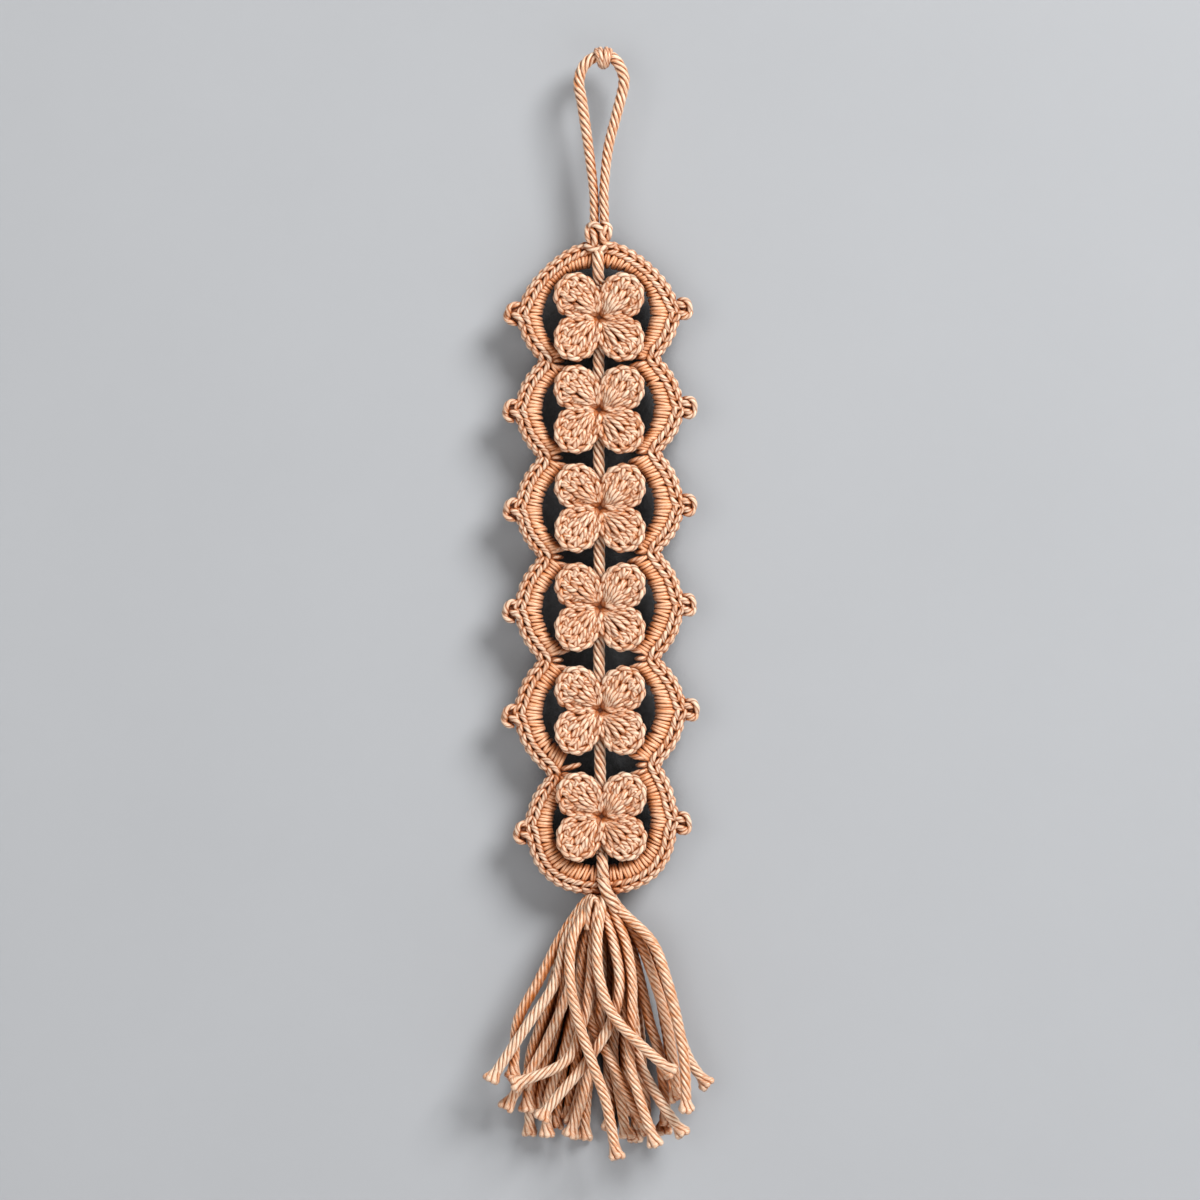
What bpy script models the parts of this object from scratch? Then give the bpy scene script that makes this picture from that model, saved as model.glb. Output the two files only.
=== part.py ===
"""Crochet hanging decoration: a strip of six ring motifs, each with a four-petal flower, on a cord loop.

A twisted cord runs down the middle behind the flowers, and a tassel of cut cord hangs from the lowest ring.
Lengths below are in millimetres. The origin is the hang point, the inner top of the loop.
+Z is up, the front faces -Y and +X is on the right as seen from the front.
"""

import math
from collections import namedtuple

import bmesh
import bpy
import numpy as np

MM = 0.001

# The clearance that touching pieces keep between them.
GAP = 0.3

# The crocheted band: a ring of wrapped stitches inside a braided edging, swept round the whole strip.
BAND_HALF_DEPTH = 2.75
TOP_RING_OUTER = 32.0
TOP_RING_INNER = 21.0
TOP_SHOULDER = -2.2
BOTTOM_RING_OUTER = 32.7
BOTTOM_RING_INNER = 20.8
BOTTOM_SHOULDER = 1.5
STEPS_PER_HALF_MOTIF = 5
STEPS_PER_END_ARC = 7
OUTER_FALL = 2.2
INNER_FALL = 2.0
WAIST_WIDTH = 5.6
SPUR_LENGTH = 6.0
SPUR_HALF_HEIGHT = 2.2
WAIST_FLARE = 0.9

# Across the band from its outer edge (0) to its inner edge (1), and the share of its half depth there.
SectionPoint = namedtuple("SectionPoint", "across depth")
BAND_SECTION = (
    SectionPoint(0.0, 0.0),
    SectionPoint(0.1, -0.62),
    SectionPoint(0.42, -0.72),
    SectionPoint(0.58, -1.0),
    SectionPoint(0.88, -0.85),
    SectionPoint(1.0, 0.0),
    SectionPoint(0.88, 0.85),
    SectionPoint(0.58, 1.0),
    SectionPoint(0.42, 0.72),
    SectionPoint(0.1, 0.62),
)

# One row a motif, top to bottom: its centre, how far its ring reaches each side, and its two picot knobs.
Motif = namedtuple(
    "Motif", "x z outer_left outer_right inner_left inner_right picot_left picot_right"
)
MOTIFS = (
    Motif(-0.4, -104.6, -34.0, 32.8, -24.4, 21.4, (-37.4, -102.9), (35.8, -100.8)),
    Motif(-0.4, -143.2, -34.9, 34.4, -24.6, 22.9, (-38.2, -143.6), (37.8, -142.2)),
    Motif(0.0, -184.4, -34.9, 34.4, -24.6, 23.1, (-37.8, -185.2), (37.6, -183.1)),
    Motif(0.0, -226.0, -35.0, 34.4, -24.6, 23.1, (-38.2, -227.6), (37.4, -225.1)),
    Motif(0.0, -269.2, -35.2, 35.3, -24.4, 23.5, (-38.6, -271.7), (38.6, -269.2)),
    Motif(0.6, -313.7, -30.4, 31.9, -20.2, 21.4, (-33.6, -320.5), (35.4, -316.7)),
)

# One row a waist, where a motif meets the next: the outer edge's cusp on each side.
Waist = namedtuple("Waist", "left_x left_z right_x right_z")
WAISTS = (
    Waist(-24.8, -122.6, 24.4, -121.2),
    Waist(-25.4, -163.2, 24.8, -160.9),
    Waist(-25.2, -205.0, 24.4, -202.9),
    Waist(-25.2, -248.2, 24.4, -247.6),
    Waist(-21.0, -296.5, 24.8, -292.3),
)

PICOT_RADIUS = 2.8
PICOT_YARN_RADIUS = 1.3
PICOT_TURN_STEPS = 9
PICOT_YARN_SIDES = 5

# The flowers: four petals on the diagonals, domed towards the front with a dimple in the middle.
PETAL_TIP = 22.6
NOTCH_AT_SIDE = 13.4
NOTCH_AT_TOP = 9.0
PETAL_SQUARENESS = 0.5
FLOWER_BACK = -(BAND_HALF_DEPTH + GAP)
FLOWER_STEPS = 40
NOTCH_HEIGHT_SHARE = 0.55

# Rings of the flower's front from its middle outwards, and the last one on the back.
FlowerRing = namedtuple("FlowerRing", "reach height")
FLOWER_MIDDLE_HEIGHT = 1.6
FLOWER_RINGS = (
    FlowerRing(0.22, 3.2),
    FlowerRing(0.62, 4.9),
    FlowerRing(0.88, 4.4),
    FlowerRing(1.0, 2.2),
    FlowerRing(0.94, 0.0),
)

# The ridges of the petals' long stitches, every other step round the flower.
RIB_HEIGHT = 0.3

# The cords are laid ropes: each turn of the lay is stepped, and the plies stand out from the grooves.
ROPE_PLIES = 4
ROPE_LAY = 20.0
ROPE_STEPS_PER_LAY = 12
ROPE_GROOVE_SHARE = 0.8

# The cord down the middle.
CENTRE_CORD_RADIUS = 2.4
CENTRE_CORD_ROUTE = (
    (-0.9, -5.5, -79.6),
    (-0.8, -5.3, -84.0),
    (-0.6, -2.8, -88.0),
    (-0.4, -0.3, -92.0),
    (-0.6, -0.3, -124.0),
    (-0.5, -0.3, -163.0),
    (-0.3, -0.3, -205.0),
    (-0.4, -0.3, -247.0),
    (0.0, -0.3, -290.0),
    (0.7, -0.3, -327.4),
    (1.0, -2.8, -331.2),
    (1.6, -5.3, -335.0),
    (2.2, -5.5, -340.8),
)

# The hanging loop, from one leg's foot over the top to the other's.
LOOP_RADIUS = 2.4
LOOP_FOOT_RADIUS = 2.0
LOOP_TAPER_TOP = -10.0
LOOP_TAPER_SHARE = 0.6
LOOP_ROUTE = (
    (-2.5, 0.5, -71.8),
    (-2.4, 0.5, -62.0),
    (-2.7, 0.5, -51.0),
    (-5.0, 0.0, -31.9),
    (-7.6, 0.0, -14.0),
    (-8.9, 0.0, -6.4),
    (-7.4, 0.0, 0.2),
    (-3.2, 0.0, 4.5),
    (1.3, 0.0, 4.7),
    (5.8, 0.0, 4.4),
    (9.3, 0.0, -1.2),
    (9.9, 0.0, -7.1),
    (6.6, 0.0, -20.6),
    (3.4, 0.0, -33.6),
    (1.7, -0.5, -51.0),
    (1.8, -0.5, -62.0),
    (1.9, -0.5, -71.8),
)

# The whipping that binds the top of the loop, turned about the cord's axis.
WHIPPING_CENTRE = (1.3, 0.0, 4.6)
WHIPPING_TURN_STEPS = 14
# The cord bends inside the whipping, so its bore has twice the usual gap round the cord.
WHIPPING_BORE = LOOP_RADIUS + 2 * GAP
WhippingPoint = namedtuple("WhippingPoint", "along radius")
WHIPPING_SECTION = (
    WhippingPoint(-3.4, WHIPPING_BORE),
    WhippingPoint(-3.8, 3.5),
    WhippingPoint(-2.6, 4.5),
    WhippingPoint(0.0, 4.8),
    WhippingPoint(2.6, 4.4),
    WhippingPoint(3.7, 3.4),
    WhippingPoint(3.3, WHIPPING_BORE),
)

# The hitch that ties the loop on: one bight of the cord over the front of the band's top edge.
HITCH_RADIUS = 2.3
HITCH_ROUTE = (
    (-3.8, -5.5, -76.4),
    (-4.3, -5.6, -72.6),
    (-3.6, -5.4, -68.6),
    (-0.4, -5.3, -66.2),
    (2.9, -5.4, -68.2),
    (3.7, -5.6, -72.4),
    (3.2, -5.5, -76.4),
)

# The tassel: cut cords of four sides, fused in a flat head below the band.
STRAND_RADIUS = 2.25
STRAND_END_RADIUS = 3.3
STRAND_FLARE = 5.0
STRAND_SPACING = 10.0
HEAD_HALF_WIDTH = 9.0
HEAD_HALF_DEPTH = 7.6
HEAD_HALF_HEIGHT = 5.4
HEAD_TOP = -346.6
HEAD_STEPS = 16
ROOT_Z = HEAD_TOP - 6.0
LAYER_PITCH = 4.9
MIDDLE_LAYER = 2.5
ROOT_DEPTH_SHARE = 0.45
SPREAD_DROP = 26.0

# Rows down the head, in half heights, and the share of its full width there.
HeadRow = namedtuple("HeadRow", "down reach")
HEAD_ROWS = (
    HeadRow(0.0, 0.35),
    HeadRow(0.25, 0.8),
    HeadRow(0.9, 1.0),
    HeadRow(1.5, 0.85),
    HeadRow(2.0, 0.4),
)

# One row a strand: its root, its place across at five heights down the tassel, and its end.
# Layers run from 0 at the front to 5 at the back. A strand that ends early has fewer places.
LEVELS = (-365.8, -382.6, -399.4, -416.2, -433.0)
Strand = namedtuple("Strand", "layer root_x places end_x end_z")
STRANDS = (
    Strand(0, -5.4, (-11.8, -12.4, -8.8, -3.2, 2.6), 7.1, -456.2),
    Strand(0, 0.4, (-1.2, 0.1, 7.8), 30.4, -420.6),
    Strand(0, 7.6, (21.6, 28.2, 32.4, 35.3), 36.0, -436.6),
    Strand(1, 1.0, (5.4, 8.2, 4.8, -5.6, -19.6), -25.2, -440.2),
    Strand(1, -7.0, (-14.4, -18.6, -29.4), -46.0, -424.2),
    Strand(1, -1.6, (-2.8, -4.0, -7.2, -14.6), -36.8, -425.8),
    Strand(1, 5.0, (10.6, 13.4, 13.2, 12.6, 17.0), 23.4, -451.2),
    Strand(2, -2.6, (-6.0, -8.0, -4.4, 4.6, 12.8), 21.2, -446.6),
    Strand(2, -8.2, (-17.0, -25.6, -34.4, -36.0), -36.4, -423.4),
    Strand(2, 2.8, (7.6, 12.0, 14.4, 16.4, 25.2), 35.4, -447.6),
    Strand(2, 6.6, (14.6, 21.0, 27.6, 30.6), 32.4, -432.6),
    Strand(3, -5.0, (-8.0, -11.8, -18.2, -26.4), -39.8, -436.6),
    Strand(3, 0.6, (0.4, 0.6, -0.2, -3.6, -7.6), -12.8, -448.4),
    Strand(3, 5.4, (12.6, 17.8, 22.0, 26.2), 28.2, -443.8),
    Strand(3, 8.2, (20.4, 26.6, 31.6, 37.6), 45.6, -427.4),
    Strand(4, -7.0, (-14.0, -19.4, -24.0, -29.6), -30.8, -438.2),
    Strand(4, -2.0, (-4.8, -8.6, -11.6, -16.0, -21.8), -22.4, -449.0),
    Strand(4, 3.0, (6.4, 7.4, 6.4, 5.6, 8.4), 11.2, -449.4),
    Strand(4, 6.8, (16.8, 23.4, 27.0, 29.0), 26.6, -447.8),
    Strand(5, -5.0, (-10.6, -16.6, -22.6, -27.0, -29.4), -29.8, -449.0),
    Strand(5, 0.0, (-0.6, -2.0, -2.4, -3.6, -5.6), -6.6, -450.6),
    Strand(5, 4.6, (9.6, 13.4, 16.2, 17.4, 15.4), 15.0, -451.8),
)

# Colours are linear.
YARN_COLOUR = (0.76, 0.43, 0.25, 1.0)
FLOWER_COLOUR = (0.80, 0.47, 0.28, 1.0)
CORD_COLOUR = (0.78, 0.44, 0.26, 1.0)
YARN_ROUGHNESS = 0.7


def cotton(name, colour):
    """A matt cotton material."""
    material = bpy.data.materials.new(name)
    material.use_nodes = True
    shader = material.node_tree.nodes["Principled BSDF"]
    shader.inputs["Base Color"].default_value = colour
    shader.inputs["Roughness"].default_value = YARN_ROUGHNESS
    return material


def mesh_object(name, points, faces, material):
    """An object from points in millimetres, with its faces turned outwards."""
    mesh = bpy.data.meshes.new(name)
    mesh.from_pydata([[c * MM for c in point] for point in points], [], faces)
    shape = bmesh.new()
    shape.from_mesh(mesh)
    bmesh.ops.recalc_face_normals(shape, faces=shape.faces)
    shape.to_mesh(mesh)
    shape.free()
    mesh.shade_smooth()
    mesh.materials.append(material)
    obj = bpy.data.objects.new(name, mesh)
    bpy.context.scene.collection.objects.link(obj)
    return obj


def as_helper(obj):
    """Keeps an object out of the render, as a shape that a Boolean reads."""
    obj.hide_render = True
    obj.display_type = "WIRE"
    return obj


def join_solid(obj, other, overlapping=False):
    """Joins another solid to obj with a live Boolean union."""
    union = obj.modifiers.new("join " + other.name, "BOOLEAN")
    union.operation = "UNION"
    union.solver = "EXACT"
    union.use_self = overlapping
    union.object = other


def smooth_route(route, spacing):
    """Points about spacing apart along a smooth curve through the route's own points."""
    knots = np.array(route, dtype=float)
    padded = np.vstack([2 * knots[0] - knots[1], knots, 2 * knots[-1] - knots[-2]])
    found = [knots[0]]
    for before, start, end, after in zip(padded, padded[1:], padded[2:], padded[3:]):
        steps = max(1, round(float(np.linalg.norm(end - start)) / spacing))
        for step in range(1, steps + 1):
            t = step / steps
            found.append(
                0.5
                * (
                    2 * start
                    + (end - before) * t
                    + (2 * before - 5 * start + 4 * end - after) * t**2
                    + (3 * start - before - 3 * end + after) * t**3
                )
            )
    return np.array(found)


def frames_along(points):
    """For each point, two unit directions square to the line and to each other."""
    frames = []
    for direction in np.gradient(points, axis=0):
        along = direction / np.linalg.norm(direction)
        across = np.cross(along, (0.0, 1.0, 0.0))
        across /= np.linalg.norm(across)
        frames.append((across, np.cross(along, across)))
    return frames


def ring_faces(rings, size, closed):
    """Quads between neighbouring rings of points, and end caps on an open row of rings."""
    faces = []
    for ring in range(rings if closed else rings - 1):
        after = (ring + 1) % rings
        for point in range(size):
            following = (point + 1) % size
            faces.append(
                (
                    ring * size + point,
                    ring * size + following,
                    after * size + following,
                    after * size + point,
                )
            )
    if not closed:
        faces.append(tuple(range(size)))
        faces.append(tuple((rings - 1) * size + point for point in range(size)))
    return faces


def build_rope(name, route, radius_at, material):
    """A laid rope with an S twist along a smooth route: its plies wind down to the right."""
    middle = smooth_route(route, ROPE_LAY / ROPE_STEPS_PER_LAY)
    steps = np.linalg.norm(np.diff(middle, axis=0), axis=1)
    travelled = np.append(0.0, steps.cumsum())
    size = 2 * ROPE_PLIES
    points = []
    for point, (across, through), length in zip(middle, frames_along(middle), travelled):
        for corner in range(size):
            angle = 2 * math.pi * (corner / size - length / ROPE_LAY)
            reach = radius_at(point) * (ROPE_GROOVE_SHARE if corner % 2 else 1.0)
            offset = reach * (across * math.cos(angle) + through * math.sin(angle))
            points.append(tuple(point + offset))
    return mesh_object(name, points, ring_faces(len(middle), size, closed=False), material)


def half_motif(waist, centre_z, outer, inner, towards):
    """Edge points from a motif's middle to a waist on one side: towards is -1 for the left and 1 for the right."""
    waist_x, waist_z = waist
    waist_inner = waist_x - towards * WAIST_WIDTH
    pairs = []
    for step in range(STEPS_PER_HALF_MOTIF):
        share = step / STEPS_PER_HALF_MOTIF
        z = centre_z + (waist_z - centre_z) * share
        outer_x = waist_x + (outer - waist_x) * (1 - share**OUTER_FALL)
        inner_x = waist_inner + (inner - waist_inner) * (1 - share**INNER_FALL)
        pairs.append(((outer_x, z), (inner_x, z)))
    return pairs


def waist_pairs(waist, towards):
    """Edge points at a waist: a short spur of wrapped stitches reaches in from there to the petals."""
    waist_x, waist_z = waist
    inner_x = waist_x - towards * WAIST_WIDTH
    spur_x = inner_x - towards * SPUR_LENGTH
    beside_x = waist_x + towards * WAIST_FLARE
    return [
        ((beside_x, waist_z + SPUR_HALF_HEIGHT), (inner_x, waist_z + SPUR_HALF_HEIGHT)),
        ((waist_x, waist_z), (spur_x, waist_z)),
        ((beside_x, waist_z - SPUR_HALF_HEIGHT), (inner_x, waist_z - SPUR_HALF_HEIGHT)),
    ]


def end_arc(motif, side_edges, end_radii, shoulder, towards, up):
    """Edge points of a quarter ring, from a motif's side to the middle of the strip's top or bottom."""
    outer_side, inner_side = side_edges
    outer_end, inner_end = end_radii
    pairs = []
    for step in range(1, STEPS_PER_END_ARC + 1):
        share = step / STEPS_PER_END_ARC
        angle = share * math.pi / 2
        outer_radius = abs(outer_side - motif.x) * (1 - share) + outer_end * share
        outer_radius += shoulder * math.sin(2 * angle) ** 2
        inner_radius = abs(inner_side - motif.x) * (1 - share) + inner_end * share
        across = towards * math.cos(angle)
        along = up * math.sin(angle)
        pairs.append(
            (
                (motif.x + outer_radius * across, motif.z + outer_radius * along),
                (motif.x + inner_radius * across, motif.z + inner_radius * along),
            )
        )
    return pairs


def band_side(towards):
    """Pairs of outer and inner edge points down one side, from the strip's top middle to its bottom middle."""
    left = towards < 0
    waists = [(w.left_x, w.left_z) if left else (w.right_x, w.right_z) for w in WAISTS]
    outers = [m.outer_left if left else m.outer_right for m in MOTIFS]
    inners = [m.inner_left if left else m.inner_right for m in MOTIFS]
    knobs = [m.picot_left if left else m.picot_right for m in MOTIFS]
    edges = list(zip(outers, inners))
    top_radii = (TOP_RING_OUTER, TOP_RING_INNER)
    pairs = end_arc(MOTIFS[0], edges[0], top_radii, TOP_SHOULDER, towards, 1)[::-1]
    for number, motif in enumerate(MOTIFS):
        level = (motif.z + knobs[number][1]) / 2
        shape = (level, outers[number], inners[number], towards)
        if number > 0:
            upper = half_motif(waists[number - 1], *shape)
            pairs += waist_pairs(waists[number - 1], towards) + upper[:0:-1]
        if number < len(WAISTS):
            pairs += half_motif(waists[number], *shape)
    last = MOTIFS[-1]
    pairs.append(((outers[-1], last.z), (inners[-1], last.z)))
    bottom_radii = (BOTTOM_RING_OUTER, BOTTOM_RING_INNER)
    return pairs + end_arc(last, edges[-1], bottom_radii, BOTTOM_SHOULDER, towards, -1)


def band_points():
    """The points of every cross-section round the strip, clockwise from its top middle."""
    right = band_side(1)
    left = band_side(-1)
    pairs = right + left[::-1][1:-1]
    points = []
    for (outer_x, outer_z), (inner_x, inner_z) in pairs:
        for spot in BAND_SECTION:
            points.append(
                (
                    outer_x + (inner_x - outer_x) * spot.across,
                    BAND_HALF_DEPTH * spot.depth,
                    outer_z + (inner_z - outer_z) * spot.across,
                )
            )
    return points, len(pairs)


def picot_points():
    """Small yarn rings, one at each picot, as points and faces."""
    points = []
    faces = []
    for motif in MOTIFS:
        for x, z in (motif.picot_left, motif.picot_right):
            base = len(points)
            for turn in range(PICOT_TURN_STEPS):
                around = 2 * math.pi * turn / PICOT_TURN_STEPS
                for side in range(PICOT_YARN_SIDES):
                    angle = 2 * math.pi * side / PICOT_YARN_SIDES
                    reach = PICOT_RADIUS + PICOT_YARN_RADIUS * math.cos(angle)
                    points.append(
                        (
                            x + reach * math.cos(around),
                            PICOT_YARN_RADIUS * math.sin(angle),
                            z + reach * math.sin(around),
                        )
                    )
            ring = ring_faces(PICOT_TURN_STEPS, PICOT_YARN_SIDES, closed=True)
            faces += [tuple(base + corner for corner in face) for face in ring]
    return points, faces


def build_band(material):
    """The crocheted rings and their edging, worked in one piece round the strip, with a picot each side."""
    points, sections = band_points()
    band = mesh_object(
        "band", points, ring_faces(sections, len(BAND_SECTION), closed=True), material
    )
    knobs = as_helper(mesh_object("picot_rings", *picot_points(), material))
    join_solid(band, knobs)
    return band


def petal_outline(angle):
    """How far the flower reaches at an angle from +X, and its height there as a share of the petals' own."""
    lobe = abs(math.sin(2 * angle)) ** PETAL_SQUARENESS
    notch = (NOTCH_AT_SIDE + NOTCH_AT_TOP) / 2
    notch += (NOTCH_AT_SIDE - NOTCH_AT_TOP) / 2 * math.cos(2 * angle)
    reach = notch + (PETAL_TIP - notch) * lobe
    return reach, NOTCH_HEIGHT_SHARE + (1 - NOTCH_HEIGHT_SHARE) * lobe


def build_flower(number, motif, material):
    """One four-petal flower, flat at the back and domed at the front."""
    points = [(motif.x, FLOWER_BACK - FLOWER_MIDDLE_HEIGHT, motif.z)]
    for ring in FLOWER_RINGS:
        for step in range(FLOWER_STEPS):
            angle = 2 * math.pi * step / FLOWER_STEPS
            reach, share = petal_outline(angle)
            height = ring.height * share
            if ring.height > FLOWER_RINGS[0].height:
                height += RIB_HEIGHT if step % 2 else -RIB_HEIGHT
            points.append(
                (
                    motif.x + reach * ring.reach * math.cos(angle),
                    FLOWER_BACK - height,
                    motif.z + reach * ring.reach * math.sin(angle),
                )
            )
    points.append((motif.x, FLOWER_BACK, motif.z))
    faces = []
    for ring in range(len(FLOWER_RINGS) - 1):
        for step in range(FLOWER_STEPS):
            after = (step + 1) % FLOWER_STEPS
            inner = 1 + ring * FLOWER_STEPS
            outer = inner + FLOWER_STEPS
            faces.append((inner + step, outer + step, outer + after, inner + after))
    last = 1 + (len(FLOWER_RINGS) - 1) * FLOWER_STEPS
    for step in range(FLOWER_STEPS):
        after = (step + 1) % FLOWER_STEPS
        faces.append((0, 1 + step, 1 + after))
        faces.append((len(points) - 1, last + after, last + step))
    return mesh_object(f"flower_{number}", points, faces, material)


def loop_radius(point):
    """The loop's radius at a point: it is drawn thinner where its two legs meet."""
    foot = LOOP_ROUTE[0][2]
    down = (LOOP_TAPER_TOP - point[2]) / (LOOP_TAPER_TOP - foot)
    share = min(1.0, max(0.0, down / LOOP_TAPER_SHARE))
    return LOOP_RADIUS + (LOOP_FOOT_RADIUS - LOOP_RADIUS) * share


def build_whipping(material):
    """The short whipping round the top of the loop: a ring turned about the cord, which runs through it."""
    centre_x, centre_y, centre_z = WHIPPING_CENTRE
    points = []
    for turn in range(WHIPPING_TURN_STEPS):
        angle = 2 * math.pi * turn / WHIPPING_TURN_STEPS
        for spot in WHIPPING_SECTION:
            points.append(
                (
                    centre_x + spot.along,
                    centre_y + spot.radius * math.cos(angle),
                    centre_z + spot.radius * math.sin(angle),
                )
            )
    faces = ring_faces(WHIPPING_TURN_STEPS, len(WHIPPING_SECTION), closed=True)
    return mesh_object("whipping", points, faces, material)


def strand_route(strand):
    """The strand's own points from its root in the head to its cut end."""
    depth = (strand.layer - MIDDLE_LAYER) * LAYER_PITCH
    root_depth = depth * ROOT_DEPTH_SHARE
    root_depth *= math.sqrt(1 - (strand.root_x / HEAD_HALF_WIDTH) ** 2)
    route = [(strand.root_x, root_depth, ROOT_Z)]
    for level, place in zip(LEVELS, strand.places):
        share = min(1.0, (ROOT_Z - level) / SPREAD_DROP)
        route.append((place, root_depth + (depth - root_depth) * share, level))
    route.append((strand.end_x, depth, strand.end_z))
    return route


def strand_sections(points):
    """Four corners round each point of a strand, wider over the frayed end."""
    to_end = np.linalg.norm(np.diff(points, axis=0), axis=1)[::-1].cumsum()[::-1]
    to_end = np.append(to_end, 0.0)
    corners = []
    for point, (across, through), left in zip(points, frames_along(points), to_end):
        flare = max(0.0, 1 - left / STRAND_FLARE)
        radius = STRAND_RADIUS + (STRAND_END_RADIUS - STRAND_RADIUS) * flare
        for side, other in ((1, 0), (0, 1), (-1, 0), (0, -1)):
            corners.append(tuple(point + radius * (side * across + other * through)))
    return corners


def strands_mesh():
    """Every strand as four-sided tubes in one mesh."""
    points = []
    faces = []
    for strand in STRANDS:
        middle = smooth_route(strand_route(strand), STRAND_SPACING)
        last = middle[-1] - middle[-2]
        before_end = middle[-1] - last / np.linalg.norm(last) * STRAND_FLARE
        middle = np.vstack([middle[:-1], before_end, middle[-1]])
        base = len(points)
        points += strand_sections(middle)
        faces += [
            tuple(base + corner for corner in face)
            for face in ring_faces(len(middle), 4, closed=False)
        ]
    return points, faces


def head_mesh():
    """The tassel's head: a flat ball of the doubled cords' folds."""
    points = []
    for row in HEAD_ROWS:
        for step in range(HEAD_STEPS):
            angle = 2 * math.pi * step / HEAD_STEPS
            points.append(
                (
                    HEAD_HALF_WIDTH * row.reach * math.cos(angle),
                    HEAD_HALF_DEPTH * row.reach * math.sin(angle),
                    HEAD_TOP - GAP - HEAD_HALF_HEIGHT * row.down,
                )
            )
    return points, ring_faces(len(HEAD_ROWS), HEAD_STEPS, closed=False)


def build_tassel(material):
    """The tassel: its strands stand apart and are fused at their roots in the head."""
    tassel = mesh_object("tassel", *head_mesh(), material)
    strands = as_helper(mesh_object("tassel_strands", *strands_mesh(), material))
    join_solid(tassel, strands, overlapping=True)
    return tassel


def main():
    for obj in list(bpy.data.objects):
        bpy.data.objects.remove(obj)
    yarn = cotton("crochet_yarn", YARN_COLOUR)
    build_band(yarn)
    for number, motif in enumerate(MOTIFS, start=1):
        build_flower(number, motif, cotton(f"flower_yarn_{number}", FLOWER_COLOUR))
    build_rope(
        "centre_cord",
        CENTRE_CORD_ROUTE,
        lambda point: CENTRE_CORD_RADIUS,
        cotton("centre_cord", CORD_COLOUR),
    )
    build_rope("hanging_loop", LOOP_ROUTE, loop_radius, cotton("loop_cord", CORD_COLOUR))
    build_whipping(cotton("whipping_yarn", YARN_COLOUR))
    build_rope("hitch", HITCH_ROUTE, lambda point: HITCH_RADIUS, cotton("hitch_cord", CORD_COLOUR))
    build_tassel(cotton("tassel_cord", CORD_COLOUR))


main()
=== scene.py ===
"""Looks for the crochet hanging decoration: twisted cord, crochet stitches and a tassel, strand by strand.

Tables of sizes are in millimetres, as a maker would measure them, and every mesh is made in metres.
+Z is up, the front faces -Y and +X is on the right as seen from the front.
"""

import math
from collections import namedtuple

import bpy
import numpy as np
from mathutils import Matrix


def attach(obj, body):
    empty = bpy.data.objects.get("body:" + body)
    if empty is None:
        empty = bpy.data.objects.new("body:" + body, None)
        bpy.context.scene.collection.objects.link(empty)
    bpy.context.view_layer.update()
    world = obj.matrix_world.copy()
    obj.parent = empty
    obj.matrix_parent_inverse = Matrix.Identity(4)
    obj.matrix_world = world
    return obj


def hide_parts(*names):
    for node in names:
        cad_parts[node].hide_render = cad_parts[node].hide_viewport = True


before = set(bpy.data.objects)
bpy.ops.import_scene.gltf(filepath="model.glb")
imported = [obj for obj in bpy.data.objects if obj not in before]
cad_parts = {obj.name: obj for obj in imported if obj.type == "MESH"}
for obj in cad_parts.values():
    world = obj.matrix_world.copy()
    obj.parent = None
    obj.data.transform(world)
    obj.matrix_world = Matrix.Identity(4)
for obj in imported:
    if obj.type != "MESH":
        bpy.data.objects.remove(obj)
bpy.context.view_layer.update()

bl_info = {
    "name": "Crochet hanging decoration",
    "version": (1, 0, 0),
    "blender": (4, 5, 0),
    "location": "3D View > Sidebar > Crochet",
    "description": "Builds a crochet strip of six flower rings on a cord loop, with a tassel of cut cord",
    "category": "Add Mesh",
}

MM = 0.001
FRONT = np.array((0.0, -1.0, 0.0))
RIGHT = np.array((1.0, 0.0, 0.0))

# ---------------------------------------------------------------- sizes of the strip, in millimetres

# A motif's middle and its two sides: how far the edging and the ring reach there, and its picot's place.
Motif = namedtuple("Motif", "x z left right")
Side = namedtuple("Side", "outer inner picot_x picot_z")
MOTIFS = (
    Motif(-0.4, -104.6, Side(-34.0, -24.4, -37.4, -102.9), Side(32.8, 21.4, 35.8, -100.8)),
    Motif(-0.4, -143.2, Side(-34.9, -24.6, -38.2, -143.6), Side(34.4, 22.9, 37.8, -142.2)),
    Motif(0.0, -184.4, Side(-34.9, -24.6, -37.8, -185.2), Side(34.4, 23.1, 37.6, -183.1)),
    Motif(0.0, -226.0, Side(-35.0, -24.6, -38.2, -227.6), Side(34.4, 23.1, 37.4, -225.1)),
    Motif(0.0, -269.2, Side(-35.2, -24.4, -38.6, -271.7), Side(35.3, 23.5, 38.6, -269.2)),
    Motif(0.6, -313.7, Side(-30.4, -20.2, -33.6, -320.5), Side(31.9, 21.4, 35.4, -316.7)),
)
# The waists between the motifs, by their left and right places.
Waist = namedtuple("Waist", "left right")
WAISTS = (
    Waist((-24.8, -122.6), (24.4, -121.2)),
    Waist((-25.4, -163.2), (24.8, -160.9)),
    Waist((-25.2, -205.0), (24.4, -202.9)),
    Waist((-25.2, -248.2), (24.4, -247.6)),
    Waist((-21.0, -296.5), (24.8, -292.3)),
)

# The closed ends of the strip: how far the edging and the ring reach there, and the bulge of the shoulders.
StripEnd = namedtuple("StripEnd", "outer inner shoulder")
STRIP_TOP = StripEnd(32.0, 21.0, -2.2)
STRIP_BOTTOM = StripEnd(32.7, 20.8, 1.5)

# The edging falls away to a waist by this power, and the ring's inner edge turns in by this arc.
EDGE_FALL = 2.3
RING_RADIUS = 17.6
RING_SWEEP = math.radians(66.0)
# Beside a picot the edging rises to it by this much, over these shares of its half span.
PICOT_RISE = 2.2
RISE_SHARE = 0.32
END_RISE_SHARE = 0.14
OUTLINE_STEPS = 24
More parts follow.
